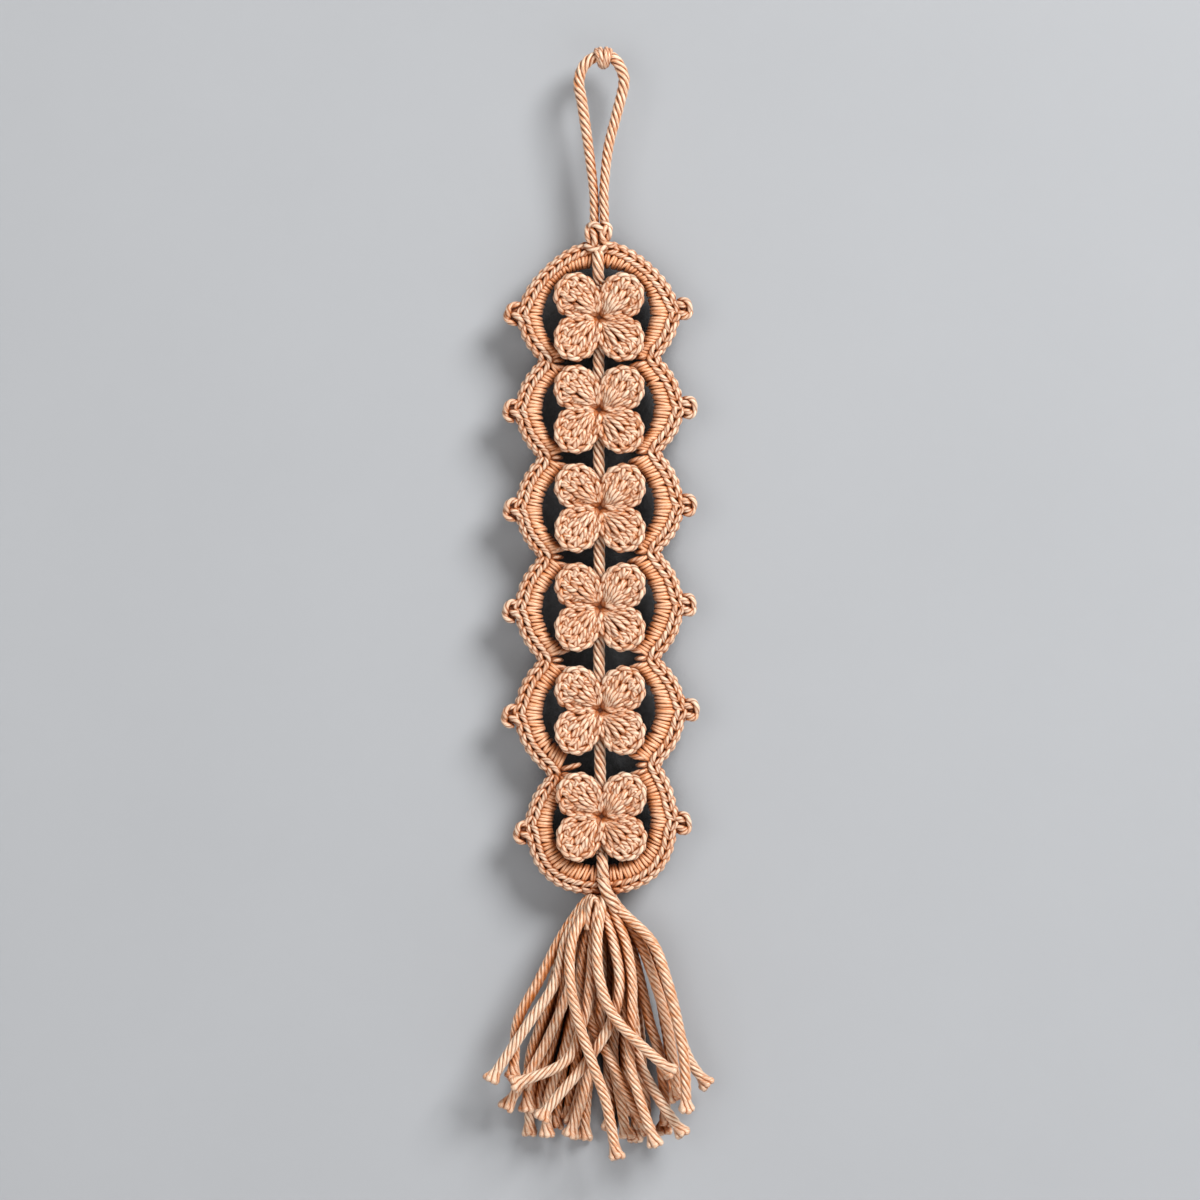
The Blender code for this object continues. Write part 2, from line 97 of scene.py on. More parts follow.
# How often the way inwards from the outer edge is evened, so that no stitches cross at a waist.
INWARD_EVENINGS = 4

# The edging: a chain of stitches that lies this far inside the outer edge, and the ring's wraps inside it.
CHAIN_INSET = 2.75
CHAIN_HALF_WIDTH = 1.5
CHAIN_PITCH = 4.1
CHAIN_FRONT = 1.7
CHAIN_TILT = 0.35
CHAIN_UNEVENNESS = 0.03
EDGE_CORE_RADIUS = 1.5
SCALLOP_INSET = 1.1
SCALLOP_HALF_WIDTH = 1.5
WRAP_INSET = 4.2
WRAP_PITCH = 1.5
WRAP_HALF_DEPTH = 3.0
WRAP_CLEARANCE = 0.3
WRAP_POINTS = 14
WRAP_EDGE_SPACING = 0.5
# Each turn leans over along the ring, by this much with this spread, and at its outer side it draws towards
# the other of its pair.
WRAP_SLANT = 0.4
WRAP_SLANT_SPREAD = 0.4
WRAP_PAIR_DRAW = 0.16
WRAP_DEPTH_SPREAD = 0.05
# A turn's girth in yarn radii, how much it swells at its outer side and thins at the inner, and its spread.
WRAP_GIRTH = 0.97
WRAP_GIRTH_SWING = 0.14
WRAP_GIRTH_SPREAD = 0.07
# A turn's painted shade grows towards the opening, and stays between the least and the most.
WRAP_SHADE_START = 0.1
WRAP_SHADE_LEAST = 0.12
WRAP_SHADE_MOST = 0.75
RING_CORE_CLEARANCE = 0.7
RING_CORE_FLATNESS = 0.86

# The spurs at a waist, by their heights at the root and at the tip, and their reach.
Spur = namedtuple("Spur", "root tip reach")
SPURS = (Spur(2.3, 4.6, 12.6), Spur(0.2, 0.0, 9.4), Spur(-1.9, -4.4, 12.6))
# A spur's points: inwards by a share of its reach and more, its depth, its share of the climb and its radius.
SpurPoint = namedtuple("SpurPoint", "share more y climb radius")
SPUR = (
    SpurPoint(0.0, 3.4, 0.6, 0.0, 0.7),
    SpurPoint(0.0, 5.2, -1.8, 0.15, 1.15),
    SpurPoint(0.5, 2.2, -2.7, 0.45, 1.3),
    SpurPoint(1.0, -1.4, -2.3, 0.8, 1.2),
    SpurPoint(1.0, 0.0, 0.2, 1.0, 0.7),
)

# One leg of a chain stitch, from where it comes up to where it goes under.
# Ahead is in pitches, side in half widths, height and girth in yarn radii.
LegPoint = namedtuple("LegPoint", "ahead side height girth")
CHAIN_LEG = (
    LegPoint(-0.14, 0.1, -0.8, 0.6),
    LegPoint(0.1, 0.36, 0.15, 0.92),
    LegPoint(0.45, 0.84, 0.6, 1.06),
    LegPoint(0.85, 1.1, 0.45, 1.08),
    LegPoint(1.2, 1.04, -0.15, 0.94),
    LegPoint(1.46, 0.72, -1.0, 0.6),
)
SCALLOP_LEG = (
    LegPoint(-0.22, -0.7, -0.6, 0.6),
    LegPoint(0.1, 0.1, 0.0, 0.9),
    LegPoint(0.5, 0.42, 0.3, 1.05),
    LegPoint(0.9, 0.1, 0.0, 0.9),
    LegPoint(1.22, -0.7, -0.6, 0.6),
)

PICOT_SIZE = 0.94
PICOT_UNEVENNESS = 0.12
# A picot's strands, each by its points: outward and up from its middle, forward, and girth in yarn radii.
PICOT_RIGHT = (
    (  # upper arc
        (-3.4, 3.9, 0.0, 0.7), (-1.2, 4.2, 1.0, 1.0), (0.9, 3.5, 1.6, 1.1), (2.0, 1.4, 1.7, 1.1),
        (2.1, -0.8, 1.1, 0.95), (1.3, -2.6, 0.0, 0.65),
    ),
    (  # lower arc
        (1.5, 0.3, 0.2, 0.65), (2.2, -1.6, 0.8, 0.95), (1.3, -3.4, 1.2, 1.1), (-0.8, -4.1, 1.0, 1.05),
        (-3.0, -3.5, 0.0, 0.7),
    ),
    (  # upper bar
        (-5.2, 2.6, 0.4, 0.8), (-3.2, 2.1, 1.9, 1.15), (-1.3, 1.6, 2.0, 1.15), (0.4, 0.9, 0.8, 0.75),
    ),
    (  # lower bar
        (-4.4, -1.2, 0.4, 0.8), (-2.6, -1.7, 1.8, 1.1), (-0.8, -2.2, 1.9, 1.15), (0.8, -2.0, 0.9, 0.75),
    ),
    (  # within
        (-4.6, 1.2, -0.7, 1.2), (-2.2, 0.6, -0.5, 1.4), (0.6, -0.2, -0.6, 1.2),
    ),
    (  # behind
        (-3.6, 2.6, -1.0, 0.8), (-0.4, 2.4, -1.3, 1.1), (0.9, 0.0, -1.3, 1.1), (-0.4, -2.4, -1.3, 1.1),
        (-3.6, -2.6, -1.0, 0.8),
    ),
)
PICOT_LEFT = (
    (  # upper arc
        (-4.8, 4.6, 0.2, 0.8), (-2.8, 4.0, 1.5, 1.1), (-0.7, 3.9, 1.8, 1.15), (0.9, 2.4, 1.9, 1.15),
        (1.1, 0.2, 1.6, 1.1), (0.5, -1.9, 0.4, 0.75),
    ),
    (  # lower arc
        (1.9, 1.6, -0.2, 0.7), (2.1, -0.4, 0.4, 1.0), (1.6, -2.6, 0.9, 1.1), (-0.2, -4.1, 1.0, 1.1),
        (-2.4, -4.6, 0.2, 0.8),
    ),
    (  # bar
        (-0.2, 0.2, 0.2, 0.75), (-1.5, -0.6, 1.9, 1.15), (-3.4, -1.4, 2.3, 1.2), (-5.2, -3.4, 2.0, 1.1),
        (-6.4, -5.2, 0.8, 0.8),
    ),
    (  # within
        (-4.8, 2.2, -0.7, 1.2), (-2.4, 1.6, -0.5, 1.4), (0.2, 0.6, -0.6, 1.2),
    ),
    (  # behind
        (-3.8, 2.6, -1.0, 0.8), (-0.6, 2.4, -1.3, 1.1), (0.7, 0.0, -1.3, 1.1), (-0.6, -2.4, -1.3, 1.1),
        (-3.8, -2.6, -1.0, 0.8),
    ),
)

# ---------------------------------------------------------------- sizes of the flowers, in millimetres

PETAL_TIP = 22.5
NOTCH_AT_SIDE = 13.2
NOTCH_AT_TOP = 9.2
PETAL_SQUARENESS = 0.8
FLOWER_BACK = -3.05
# The flowers' yarn is this much fuller than the edging's.
FLOWER_FULLNESS = 1.16
# Height of the stitches' middles above the flower's back, by share of its reach, and the share of it left
# between petals.
DOME_SHARES = (0.0, 0.08, 0.2, 0.4, 0.62, 0.82, 1.0)
DOME_HEIGHTS = (0.0, 1.3, 3.1, 4.4, 4.5, 4.7, 3.6)
VALLEY_SHARE = 0.08
# The chained rim: how far inside the petal's edge, and how far it spreads from its middle in degrees.
RIM_INSET = 2.7
RIM_SPREAD = 43.0
RIM_POINTS = 35
RIM_PITCH = 4.3
RIM_HALF_WIDTH = 1.75
RIM_TILT = -0.25
RIM_UNEVENNESS = 0.05
RIM_SPACING = 0.6
# Where a rim's two ends run in towards the flower's middle, and how far they stand off the valley there.
RimEnd = namedtuple("RimEnd", "reach beside")
RIM_ENDS = (RimEnd(2.6, 1.0), RimEnd(6.6, 1.7))

FanPoint = namedtuple("FanPoint", "reach height girth")
FAN_STRAND = (
    FanPoint(0.7, -0.5, 0.4),
    FanPoint(2.4, -0.2, 0.6),
    FanPoint(5.2, 0.1, 0.9),
    FanPoint(8.6, 0.3, 1.02),
    FanPoint(11.2, 0.0, 1.0),
    FanPoint(13.2, -1.3, 0.65),
)
# A fan's strands bend by this many degrees. They differ in angle by radians and in length by a share, and
# only what lies beyond their feet grows with the petal.
FAN_BEND = 4.0
FAN_ANGLE_SPREAD = 0.02
FAN_LENGTH_SPREAD = 0.05
FAN_FOOT = 3.0
# A petal's hollow begins at this reach and is at its full depth after this much more.
HOLLOW_START = 5.0
HOLLOW_LENGTH = 5.0
# The fan takes painted shade over this length at the flower's middle.
MIDDLE_SHADE_LENGTH = 2.0
# One row a petal, by the angle of its middle: its fan's strands, half spread in degrees, length and depth,
# and its rows of post stitches with the reach where they start.
Petal = namedtuple("Petal", "angle fan spread length sink posts first_post")
PETALS = (
    Petal(45.0, 7, 32.0, 0.92, -0.4, 4, 9.4),
    Petal(135.0, 5, 27.0, 1.15, 0.9, 4, 12.4),
    Petal(225.0, 5, 27.0, 1.05, 0.7, 4, 10.4),
    Petal(315.0, 5, 27.0, 1.2, -0.2, 4, 13.2),
)
# The post stitches: how far they spread to each side of a petal's middle in degrees, and their height.
POST_SPREAD = 24.0
POST_SINK = -0.7
POST_STOP = 2.4
POST_POINTS = 8
POST_PITCH = 4.6
POST_HALF_WIDTH = 1.3
POST_FULLNESS = 0.98
POST_UNEVENNESS = 0.06

# The strands across a petal's back, from the flower's middle outwards.
BackPoint = namedtuple("BackPoint", "depth girth")
BACK_STRAND = (
    BackPoint(0.4, 0.4),
    BackPoint(0.7, 0.8),
    BackPoint(0.8, 1.0),
    BackPoint(0.8, 1.1),
    BackPoint(0.6, 1.1),
    BackPoint(0.0, 0.8),
)
BACK_STRANDS_A_PETAL = 7
# How far they spread to each side of the petal's middle, in degrees, and how far they run.
BACK_SPREAD = 36.0
BACK_START = 1.0
BACK_STOP = 2.0

# The pad is dark all over with painted shade.
# The dark pad under a flower's stitches: how far it stays inside their edge and below their middles, how far
# its front and back stand off the flower's back, and each ring of its dome as a share of the last.
PAD_EDGE = 2.4
PAD_DEPTH = 1.1
PAD_FRONT = 0.75
PAD_BACK = 0.6
PAD_SIDES = 48
PAD_RINGS = (0.85, 0.8, 0.75, 0.65, 0.5, 0.3)

# ---------------------------------------------------------------- routes of the cords, in millimetres

LOOP_ROUTE = (
    (-2.5, 0.5, -71.8), (-2.4, 0.5, -62.0), (-2.7, 0.5, -51.0), (-5.0, 0.0, -31.9),
    (-7.6, 0.0, -14.0), (-8.9, 0.0, -6.4), (-7.4, 0.0, 0.2), (-3.2, 0.0, 4.5),
    (1.3, 0.0, 4.7), (5.8, 0.0, 4.4), (9.3, 0.0, -1.2), (9.9, 0.0, -7.1),
    (6.6, 0.0, -20.6), (3.4, 0.0, -33.6), (1.7, -0.5, -51.0), (1.8, -0.5, -62.0),
    (1.9, -0.5, -71.8),
)
LOOP_RADIUS = 2.45
LOOP_FOOT_RADIUS = 2.05
# From this height down the cord thins to its foot, over this share of the way.
LOOP_TAPER_TOP = -10.0
LOOP_TAPER_SHARE = 0.6
LOOP_LAY = 17.0
LOOP_TONE = 0.3
# The cord's route is taken at a point every so far; those points are not kept.
DECLARED_SPACING = 4.6
# A laid cord is drawn with this many points a turn of its lay.
POINTS_A_LAY = 20

WHIPPING_CENTRE = (1.4, 0.0, 4.6)
# One row a turn of the whipping: where it lies along the cord at the top and at the foot, and its radius.
WhippingTurn = namedtuple("WhippingTurn", "top foot radius")
WHIPPING_TURNS = (
    WhippingTurn(-2.9, -1.1, 3.1),
    WhippingTurn(-1.3, -0.5, 3.6),
    WhippingTurn(1.3, 0.5, 3.65),
    WhippingTurn(2.9, 1.3, 3.1),
)
WHIPPING_YARN = 1.25
WHIPPING_POINTS = 28

# Short lengths of cord or yarn, each with its radius.
ShortCord = namedtuple("ShortCord", "radius route")
HITCH = (
    ShortCord(1.9, ((-1.2, -1.4, -65.4), (-0.6, -2.0, -68.6), (-0.2, -2.2, -72.0), (-0.4, -1.6, -76.0))),
    ShortCord(
        1.35,
        (
            (-4.6, -3.4, -67.2), (-3.9, -4.6, -65.9), (-2.0, -5.3, -65.8), (-0.3, -5.5, -67.2),
            (1.3, -4.9, -68.6), (2.4, -3.6, -69.6),
        ),
    ),
    ShortCord(
        1.2,
        (
            (-3.4, -2.6, -65.2), (-4.7, -3.4, -66.2), (-5.3, -4.0, -68.2), (-5.2, -4.2, -70.6),
            (-4.3, -3.6, -72.9), (-3.4, -2.2, -74.6),
        ),
    ),
    ShortCord(
        1.35,
        (
            (-3.6, -3.2, -66.8), (-3.1, -4.5, -68.6), (-2.4, -5.0, -70.4), (-2.1, -4.9, -72.4),
            (-2.5, -4.2, -74.6), (-3.0, -2.8, -76.4),
        ),
    ),
    ShortCord(
        1.25,
        (
            (0.6, -2.6, -64.6), (2.1, -3.6, -65.3), (3.8, -4.0, -66.8), (4.0, -4.1, -69.0),
            (3.2, -3.6, -71.2), (2.6, -2.4, -73.0),
        ),
    ),
    ShortCord(
        1.3,
        (
            (3.2, -4.0, -66.2), (1.9, -5.1, -67.6), (0.9, -5.2, -69.4), (0.9, -5.0, -71.4),
            (2.1, -4.6, -73.3), (4.2, -3.9, -74.2), (6.0, -2.6, -74.6),
        ),
    ),
    ShortCord(
        1.4,
        (
            (-6.2, -2.4, -74.0), (-5.0, -3.8, -75.0), (-3.1, -4.6, -76.0), (-0.8, -4.8, -76.3),
            (1.6, -4.5, -75.3), (3.2, -3.2, -74.2),
        ),
    ),
)
HITCH_FULLNESS = 1.12
# A short strand thins over this many points at both ends, down to this share.
END_TAPER_POINTS = 3.0
END_TAPER_SHARE = 0.5
SHORT_SPACING = 0.7

CENTRE_CORD_RADIUS = 2.5
CENTRE_CORD_LAY = 19.0
CENTRE_CORD_TONE = 0.4
FOOT_TONE = 0.6
CENTRE_CORD_ROUTE = (
    (-0.5, -1.6, -74.8), (-0.8, -4.2, -78.0), (-0.9, -5.0, -81.6), (-0.7, -4.2, -85.6),
    (-0.6, -2.2, -89.0), (-0.4, -0.9, -92.6), (-0.6, -0.9, -124.0), (-0.5, -0.9, -163.0),
    (-0.3, -0.9, -205.0), (-0.4, -0.9, -247.0), (0.0, -0.9, -290.0), (0.7, -0.9, -327.0),
    (0.8, -2.6, -330.6), (1.0, -4.8, -334.0), (1.4, -4.6, -338.0), (2.0, -2.2, -341.6),
)
# The fat end of cord that holds the tassel to the strip's lowest edge, and the small loop beside it.
FOOT_CORD = ShortCord(
    2.55,
    (
        (0.6, -2.4, -338.8), (1.3, -4.9, -341.0), (2.3, -5.9, -344.3), (3.9, -5.7, -347.4),
        (5.6, -4.9, -350.2), (6.8, -3.6, -353.0),
    ),
)
FOOT_LOOP = ShortCord(
    1.2,
    (
        (-5.6, -5.0, -361.0), (-4.8, -6.9, -354.6), (-4.3, -7.6, -350.6), (-2.9, -7.9, -348.0),
        (-1.3, -7.8, -348.6), (-1.3, -7.5, -351.6), (-2.4, -6.8, -355.4), (-3.2, -5.0, -360.6),
    ),
)

# The tassel: one row a strand, with its layer from 0 at the front to 5 at the back, its root, its place
# across at five heights, and its cut end.
LEVELS = (-365.8, -382.6, -399.4, -416.2, -433.0)
Strand = namedtuple("Strand", "layer root_x places end_x end_z")
STRANDS = (
    Strand(0, -5.4, (-11.8, -12.4, -8.8, -3.2, 2.6), 7.1, -456.2),
    Strand(0, 0.4, (-1.2, 0.1, 7.8), 30.4, -420.6),
    Strand(0, 7.6, (21.6, 28.2, 32.4, 35.3), 36.0, -436.6),
    Strand(1, 1.0, (5.4, 8.2, 4.8, -5.6, -19.6), -25.2, -440.2),
    Strand(1, -7.0, (-14.4, -18.6, -29.4), -46.0, -424.2),
    Strand(1, -1.6, (-2.8, -4.0, -7.2, -14.6), -36.8, -425.8),
    Strand(1, 5.0, (10.6, 13.4, 13.2, 12.6, 17.0), 23.4, -451.2),
    Strand(2, -2.6, (-6.0, -8.0, -4.4, 4.6, 12.8), 21.2, -446.6),
    Strand(2, -8.2, (-17.0, -25.6, -34.4, -36.0), -36.4, -423.4),
    Strand(2, 2.8, (7.6, 12.0, 14.4, 16.4, 25.2), 35.4, -447.6),
    Strand(2, 6.6, (16.2, 22.8, 27.8, 30.6), 32.4, -432.6),
    Strand(3, -5.0, (-8.0, -11.8, -18.2, -26.4), -39.8, -436.6),
    Strand(3, 0.6, (0.4, 0.6, -0.2, -3.6, -7.6), -12.8, -448.4),
    Strand(3, 5.4, (12.0, 16.8, 20.6, 25.4), 28.2, -443.8),
    Strand(3, 8.2, (20.4, 26.6, 31.6, 37.6), 45.6, -427.4),
    Strand(4, -7.0, (-14.0, -19.4, -24.0, -29.6), -30.8, -438.2),
    Strand(4, -2.0, (-4.8, -8.6, -11.6, -16.0, -21.8), -22.4, -449.0),
    Strand(4, 3.0, (6.4, 7.4, 6.4, 5.6, 8.4), 11.2, -449.4),
    Strand(4, 6.8, (16.8, 23.4, 27.0, 29.0), 26.6, -447.8),
    Strand(5, -5.0, (-10.6, -16.6, -22.6, -27.0, -29.4), -29.8, -449.0),
    Strand(5, 0.0, (-0.6, -2.0, -2.4, -3.6, -5.6), -6.6, -450.6),
    Strand(5, 4.6, (9.6, 13.4, 16.2, 17.4, 15.4), 15.0, -451.8),
)
# More strands of the same kind, behind those.
BACK_STRANDS = (
    Strand(5, -2.6, (-5.6, -9.0, -12.4, -15.2, -17.6), -19.0, -446.0),
    Strand(5, 2.4, (4.4, 3.6, 3.4, 3.4, 4.2), 4.0, -447.0),
    Strand(4, 0.6, (0.8, -0.6, -2.2, -4.6, -9.0), -12.4, -444.0),
    Strand(4, -4.4, (-9.4, -14.0, -17.8, -22.8), -32.0, -428.0),
    Strand(4, 5.0, (11.4, 14.0, 15.6, 17.4, 19.0), 19.6, -445.0),
    Strand(5, -3.8, (-8.0, -12.6, -17.2, -21.6, -25.4), -26.0, -438.0),
    Strand(5, -1.2, (-3.0, -5.4, -7.6, -9.8, -12.6), -13.4, -442.0),
    Strand(5, 3.4, (7.0, 8.6, 9.8, 10.6, 11.0), 11.0, -441.0),
)
STRAND_RADIUS = 2.25
STRAND_LAY = 20.0
STRAND_POINTS_A_LAY = 19
STRAND_PLIES = 6
STRAND_SPREAD = 0.02
# The strands' roots, and the tops of their folds, drawn in from the roots.
ROOT_Z = -352.6
HEAD_TOP_Z = -347.4
HEAD_TOP_SHARE = 0.5
HEAD_TOP_SHIFT = 0.8
HEAD_TOP_DEPTH_SHARE = 0.7
HEAD_HALF_WIDTH = 9.0
# The strands' layers from front to back, drawn in at the roots and apart after this much of a drop.
LAYER_PITCH = 4.9
MIDDLE_LAYER = 2.5
ROOT_DEPTH_SHARE = 0.45
SPREAD_DROP = 26.0
# The frayed plies start inside the strand's end and open out, each to its own length and reach.
FRAY_LENGTH = 4.2
FRAY_OVERLAP = 1.5
BODY_OVERLAP = 1.0
FRAY_LENGTH_SPREAD = 0.35
FRAY_START = 1.35
FRAY_REACH = 2.5
FRAY_REACH_SPREAD = 0.12
FRAY_OPENING = 1.4
FRAY_TWIST = 3.5
FRAY_POINTS = 7
# The frayed plies take this much painted shade all over.
FRAY_SHADE = 0.25
FrayPoint = namedtuple("FrayPoint", "share radius")
FRAY = (FrayPoint(0.0, 0.8), FrayPoint(0.5, 1.15), FrayPoint(0.85, 1.6), FrayPoint(1.0, 1.1))


# ---------------------------------------------------------------- curves and strands


def lengths_along(points, closed=False):
    """How far along a line of points each of them is, and where it ends if it is closed."""
    if closed:
        points = np.vstack([points, points[:1]])
    steps = np.linalg.norm(np.diff(points[:, :3], axis=0), axis=1)
    return np.append(0.0, steps.cumsum())


def at_lengths(points, travelled, lengths):
    """The rows of numbers at lengths along a line of points."""
    return np.stack([np.interp(lengths, travelled, column) for column in points.T], axis=-1)


def smooth(knots, steps=10, spacing=None):
    """A smooth curve through rows of numbers, which start with a place: in steps a span, or evenly spaced."""
    knots = np.asarray(knots, float)
    padded = np.vstack([2 * knots[0] - knots[1], knots, 2 * knots[-1] - knots[-2]])
    t = np.linspace(0.0, 1.0, steps, endpoint=False)[:, None]
    spans = [
        0.5
        * (
            2 * start
            + (end - before) * t
            + (2 * before - 5 * start + 4 * end - after) * t**2
            + (3 * start - before - 3 * end + after) * t**3
        )
        for before, start, end, after in zip(padded, padded[1:], padded[2:], padded[3:])
    ]
    curve = np.vstack([*spans, knots[-1:]])
    return curve if spacing is None else spaced(curve, spacing)


def spaced(curve, spacing):
    """The same curve with its points evenly spaced."""
    travelled = lengths_along(curve)
    lengths = np.linspace(0.0, travelled[-1], max(3, round(travelled[-1] / spacing) + 1))
    return at_lengths(curve, travelled, lengths)


def unit(vectors):
    return vectors / np.linalg.norm(vectors, axis=-1, keepdims=True)


# A strand's section, corner by corner: its reach as a share of the radius, and how much painted shade it
# takes deep in a groove.
Section = namedtuple("Section", "reach valley")


def round_section(sides):
    return Section(np.ones(sides), np.zeros(sides))


# How full a ply's round is, and how fast its painted shade falls off from the groove.
PLY_FULLNESS = 0.55
GROOVE_FALL = 1.3


def laid_section(plies, samples, groove, shade=1.0):
    """Plies round a strand, each with a valley on both sides, where shade is painted."""
    bulge = np.sin(np.pi * (np.arange(plies * samples) % samples) / samples) ** PLY_FULLNESS
    return Section(1 - groove * (1 - bulge), shade * (1 - bulge) ** GROOVE_FALL)


CORD_SECTION = laid_section(STRAND_PLIES, 4, 0.28, 0.72)
CENTRE_SECTION = laid_section(5, 4, 0.34)
YARN_SECTION = laid_section(3, 3, 0.17, 0.8)
YARN_LAY = 11.0
# How much painted shade a stitch's leg takes where it goes under.
DEEPEST_SHADE = 0.8
WRAP_SECTION = round_section(8)
RING_CORE_SECTION = round_section(10)
FRAY_SECTION = round_section(7)
# How bright the cores are, from 0 to 1.
CORE_TONE = 0.2
# Each strand's fibres start at their own place along the pattern, up to this far on.
LONGEST_SHIFT = 50


class Strands:
    """Swept strands, gathered in millimetres and made into one mesh."""

    def __init__(self, seed):
        self.random = np.random.default_rng(seed)
        self.points, self.valleys, self.tones = [], [], []
        self.corners, self.counts, self.uvs = [], [], []
        self.total = 0

    def sweep(
        self, path, radius, section, facing=FRONT, lay=None, lines=6.0, closed=False, shade=0.0, tone=None,
        flat=1.0,
    ):
        """Sweeps a section along a path. With a lay it winds down to the right, else only its fibres do.

        Lines is how many turns round its own thickness a strand runs before its fibres come round once.
        Shade is the painted shade for how deep it lies, tone how bright it is, and flat its depth as a share
        of its width.
        """
        path = np.asarray(path, float)[:, :3]
        rings, size = len(path), len(section.reach)
        travelled = lengths_along(path, closed)
        if closed:
            along = unit(np.roll(path, -1, axis=0) - np.roll(path, 1, axis=0))
        else:
            along = unit(np.gradient(path, axis=0))
        across = unit(np.cross(along, facing))
        front = np.cross(across, along)
        place = np.arange(size) / size
        turned = travelled[:rings, None] / lay if lay else np.zeros((rings, 1))
        angle = 2 * np.pi * (place[None, :] - turned)
        reach = np.broadcast_to(np.asarray(radius, float).reshape(-1, 1), (rings, 1)) * section.reach
        offset = (
            front[:, None, :] * (reach * np.cos(angle))[..., None] * flat
            + across[:, None, :] * (reach * np.sin(angle))[..., None]
        )
        self.points.append((path[:, None, :] + offset).reshape(-1, 3))
        shade = np.broadcast_to(np.asarray(shade, float).reshape(-1, 1), (rings, 1))
        self.valleys.append(np.maximum(section.valley, shade * np.ones(size)).ravel())
        tone = self.random.random() if tone is None else tone
        self.tones.append(np.full(rings * size, tone))

        ring = np.arange(rings if closed else rings - 1)
        corner = np.arange(size)
        low, high = np.meshgrid(ring, corner, indexing="ij")
        after, beside = (low + 1) % rings, (high + 1) % size
        quads = np.stack(
            [low * size + high, low * size + beside, after * size + beside, after * size + high], axis=-1
        )
        self.corners.append(self.total + quads.reshape(-1))
        self.counts.append(np.full(quads.shape[0] * quads.shape[1], 4))
        wind = 0.0 if lay else 1.0 / (2 * np.pi * float(np.mean(radius)) * lines)
        shift = self.random.random() * LONGEST_SHIFT
        u = np.stack([travelled[low], travelled[low], travelled[low + 1], travelled[low + 1]], axis=-1)
        v = np.stack([high, high + 1, high + 1, high], axis=-1) / size + u * wind
        self.uvs.append(np.stack([u + shift, v], axis=-1).reshape(-1, 2))
        if not closed:
            for ends, order in ((0, corner[::-1]), (rings - 1, corner)):
                self.corners.append(self.total + ends * size + order)
                self.counts.append(np.array([size]))
                self.uvs.append(np.stack([np.full(size, travelled[ends] + shift), order / size], axis=-1))
        self.total += rings * size

    def sweep_route(self, route, steps, section, **ways):
        """Sweeps a smooth strand through places, each with its radius, in steps a span."""
        curve = smooth(route, steps)
        self.sweep(curve, curve[:, 3], section, **ways)

    def place(self, name, kind, slot, *nodes):
        """Makes all the strands so far one piece on the body, in a kind of yarn."""
        return place_piece(self.make(name, finish(kind)), slot, *nodes)

    def make(self, name, material):
        """The mesh object of all the strands so far, in metres."""
        mesh = bpy.data.meshes.new(name)
        corners = np.concatenate(self.corners).astype(np.int32)
        counts = np.concatenate(self.counts)
        starts = np.append(0, counts.cumsum()[:-1]).astype(np.int32)
        mesh.vertices.add(self.total)
        mesh.vertices.foreach_set("co", (np.concatenate(self.points) * MM).astype(np.float32).ravel())
        mesh.loops.add(len(corners))
        mesh.loops.foreach_set("vertex_index", corners)
        mesh.polygons.add(len(counts))
        mesh.polygons.foreach_set("loop_start", starts)
        mesh.update(calc_edges=True)
        mesh.uv_layers.new(name="strand").data.foreach_set(
            "uv", np.concatenate(self.uvs).astype(np.float32).ravel()
        )
        for label, values in (("valley", self.valleys), ("tone", self.tones)):
            attribute = mesh.attributes.new(label, "FLOAT", "POINT")
            attribute.data.foreach_set("value", np.concatenate(values).astype(np.float32))
        if mesh.validate():
            raise RuntimeError(f"{name}: the swept mesh has faults")
        mesh.shade_smooth()
        mesh.materials.append(material)
        obj = bpy.data.objects.new(name, mesh)
        bpy.context.scene.collection.objects.link(obj)
        return obj


class Rail:
    """A line that stitches are worked along, with the direction across it and the way that it faces."""

    def __init__(self, points, side, facing, closed=False):
        self.points, self.side, self.facing, self.closed = points, side, facing, closed
        self.travelled = lengths_along(points, closed)
        self.length = self.travelled[-1]
        self.columns = np.hstack([points, side, facing])
        if closed:
            self.columns = np.vstack([self.columns, self.columns[:1]])

    def at(self, distance):
        """Place, side and facing at distances along the line."""
        distance = np.asarray(distance, float)
        distance = distance % self.length if self.closed else np.clip(distance, 0.0, self.length)
        found = at_lengths(self.columns, self.travelled, distance)
        return found[..., :3], unit(found[..., 3:6]), unit(found[..., 6:9])


def rail_facing_front(points):
    """A rail along a line that faces the front."""
    along = unit(np.gradient(points, axis=0))
    side = unit(np.cross(np.broadcast_to(FRONT, points.shape), along))
    return Rail(points, side, np.cross(along, side))


def work_leg(strands, rail, start, pitch, leg, side, half_width, yarn, section, tilt=0.0):
    """One leg of a stitch along a rail: side is 1 towards the rail's side and -1 away from it.

    A negative pitch runs back along the rail.
    """
    ahead, aside, height, girth = np.array(leg).T
    place, beside, facing = rail.at(start + ahead * pitch)
    over = side * aside * half_width
    knots = place + beside * over[:, None] + facing * (height * yarn + tilt * over)[:, None]
    # Where a leg goes under, it takes painted shade.
    depth = np.maximum(-height, 0.0)
    curve = smooth(np.column_stack([knots, girth * yarn, depth, facing]), 2)
    shade = np.clip(curve[:, 4], 0.0, 1.0) * DEEPEST_SHADE
    strands.sweep(curve, curve[:, 3], section, facing=curve[:, 5:8], shade=shade, lay=YARN_LAY)


# ---------------------------------------------------------------- the strip's outline


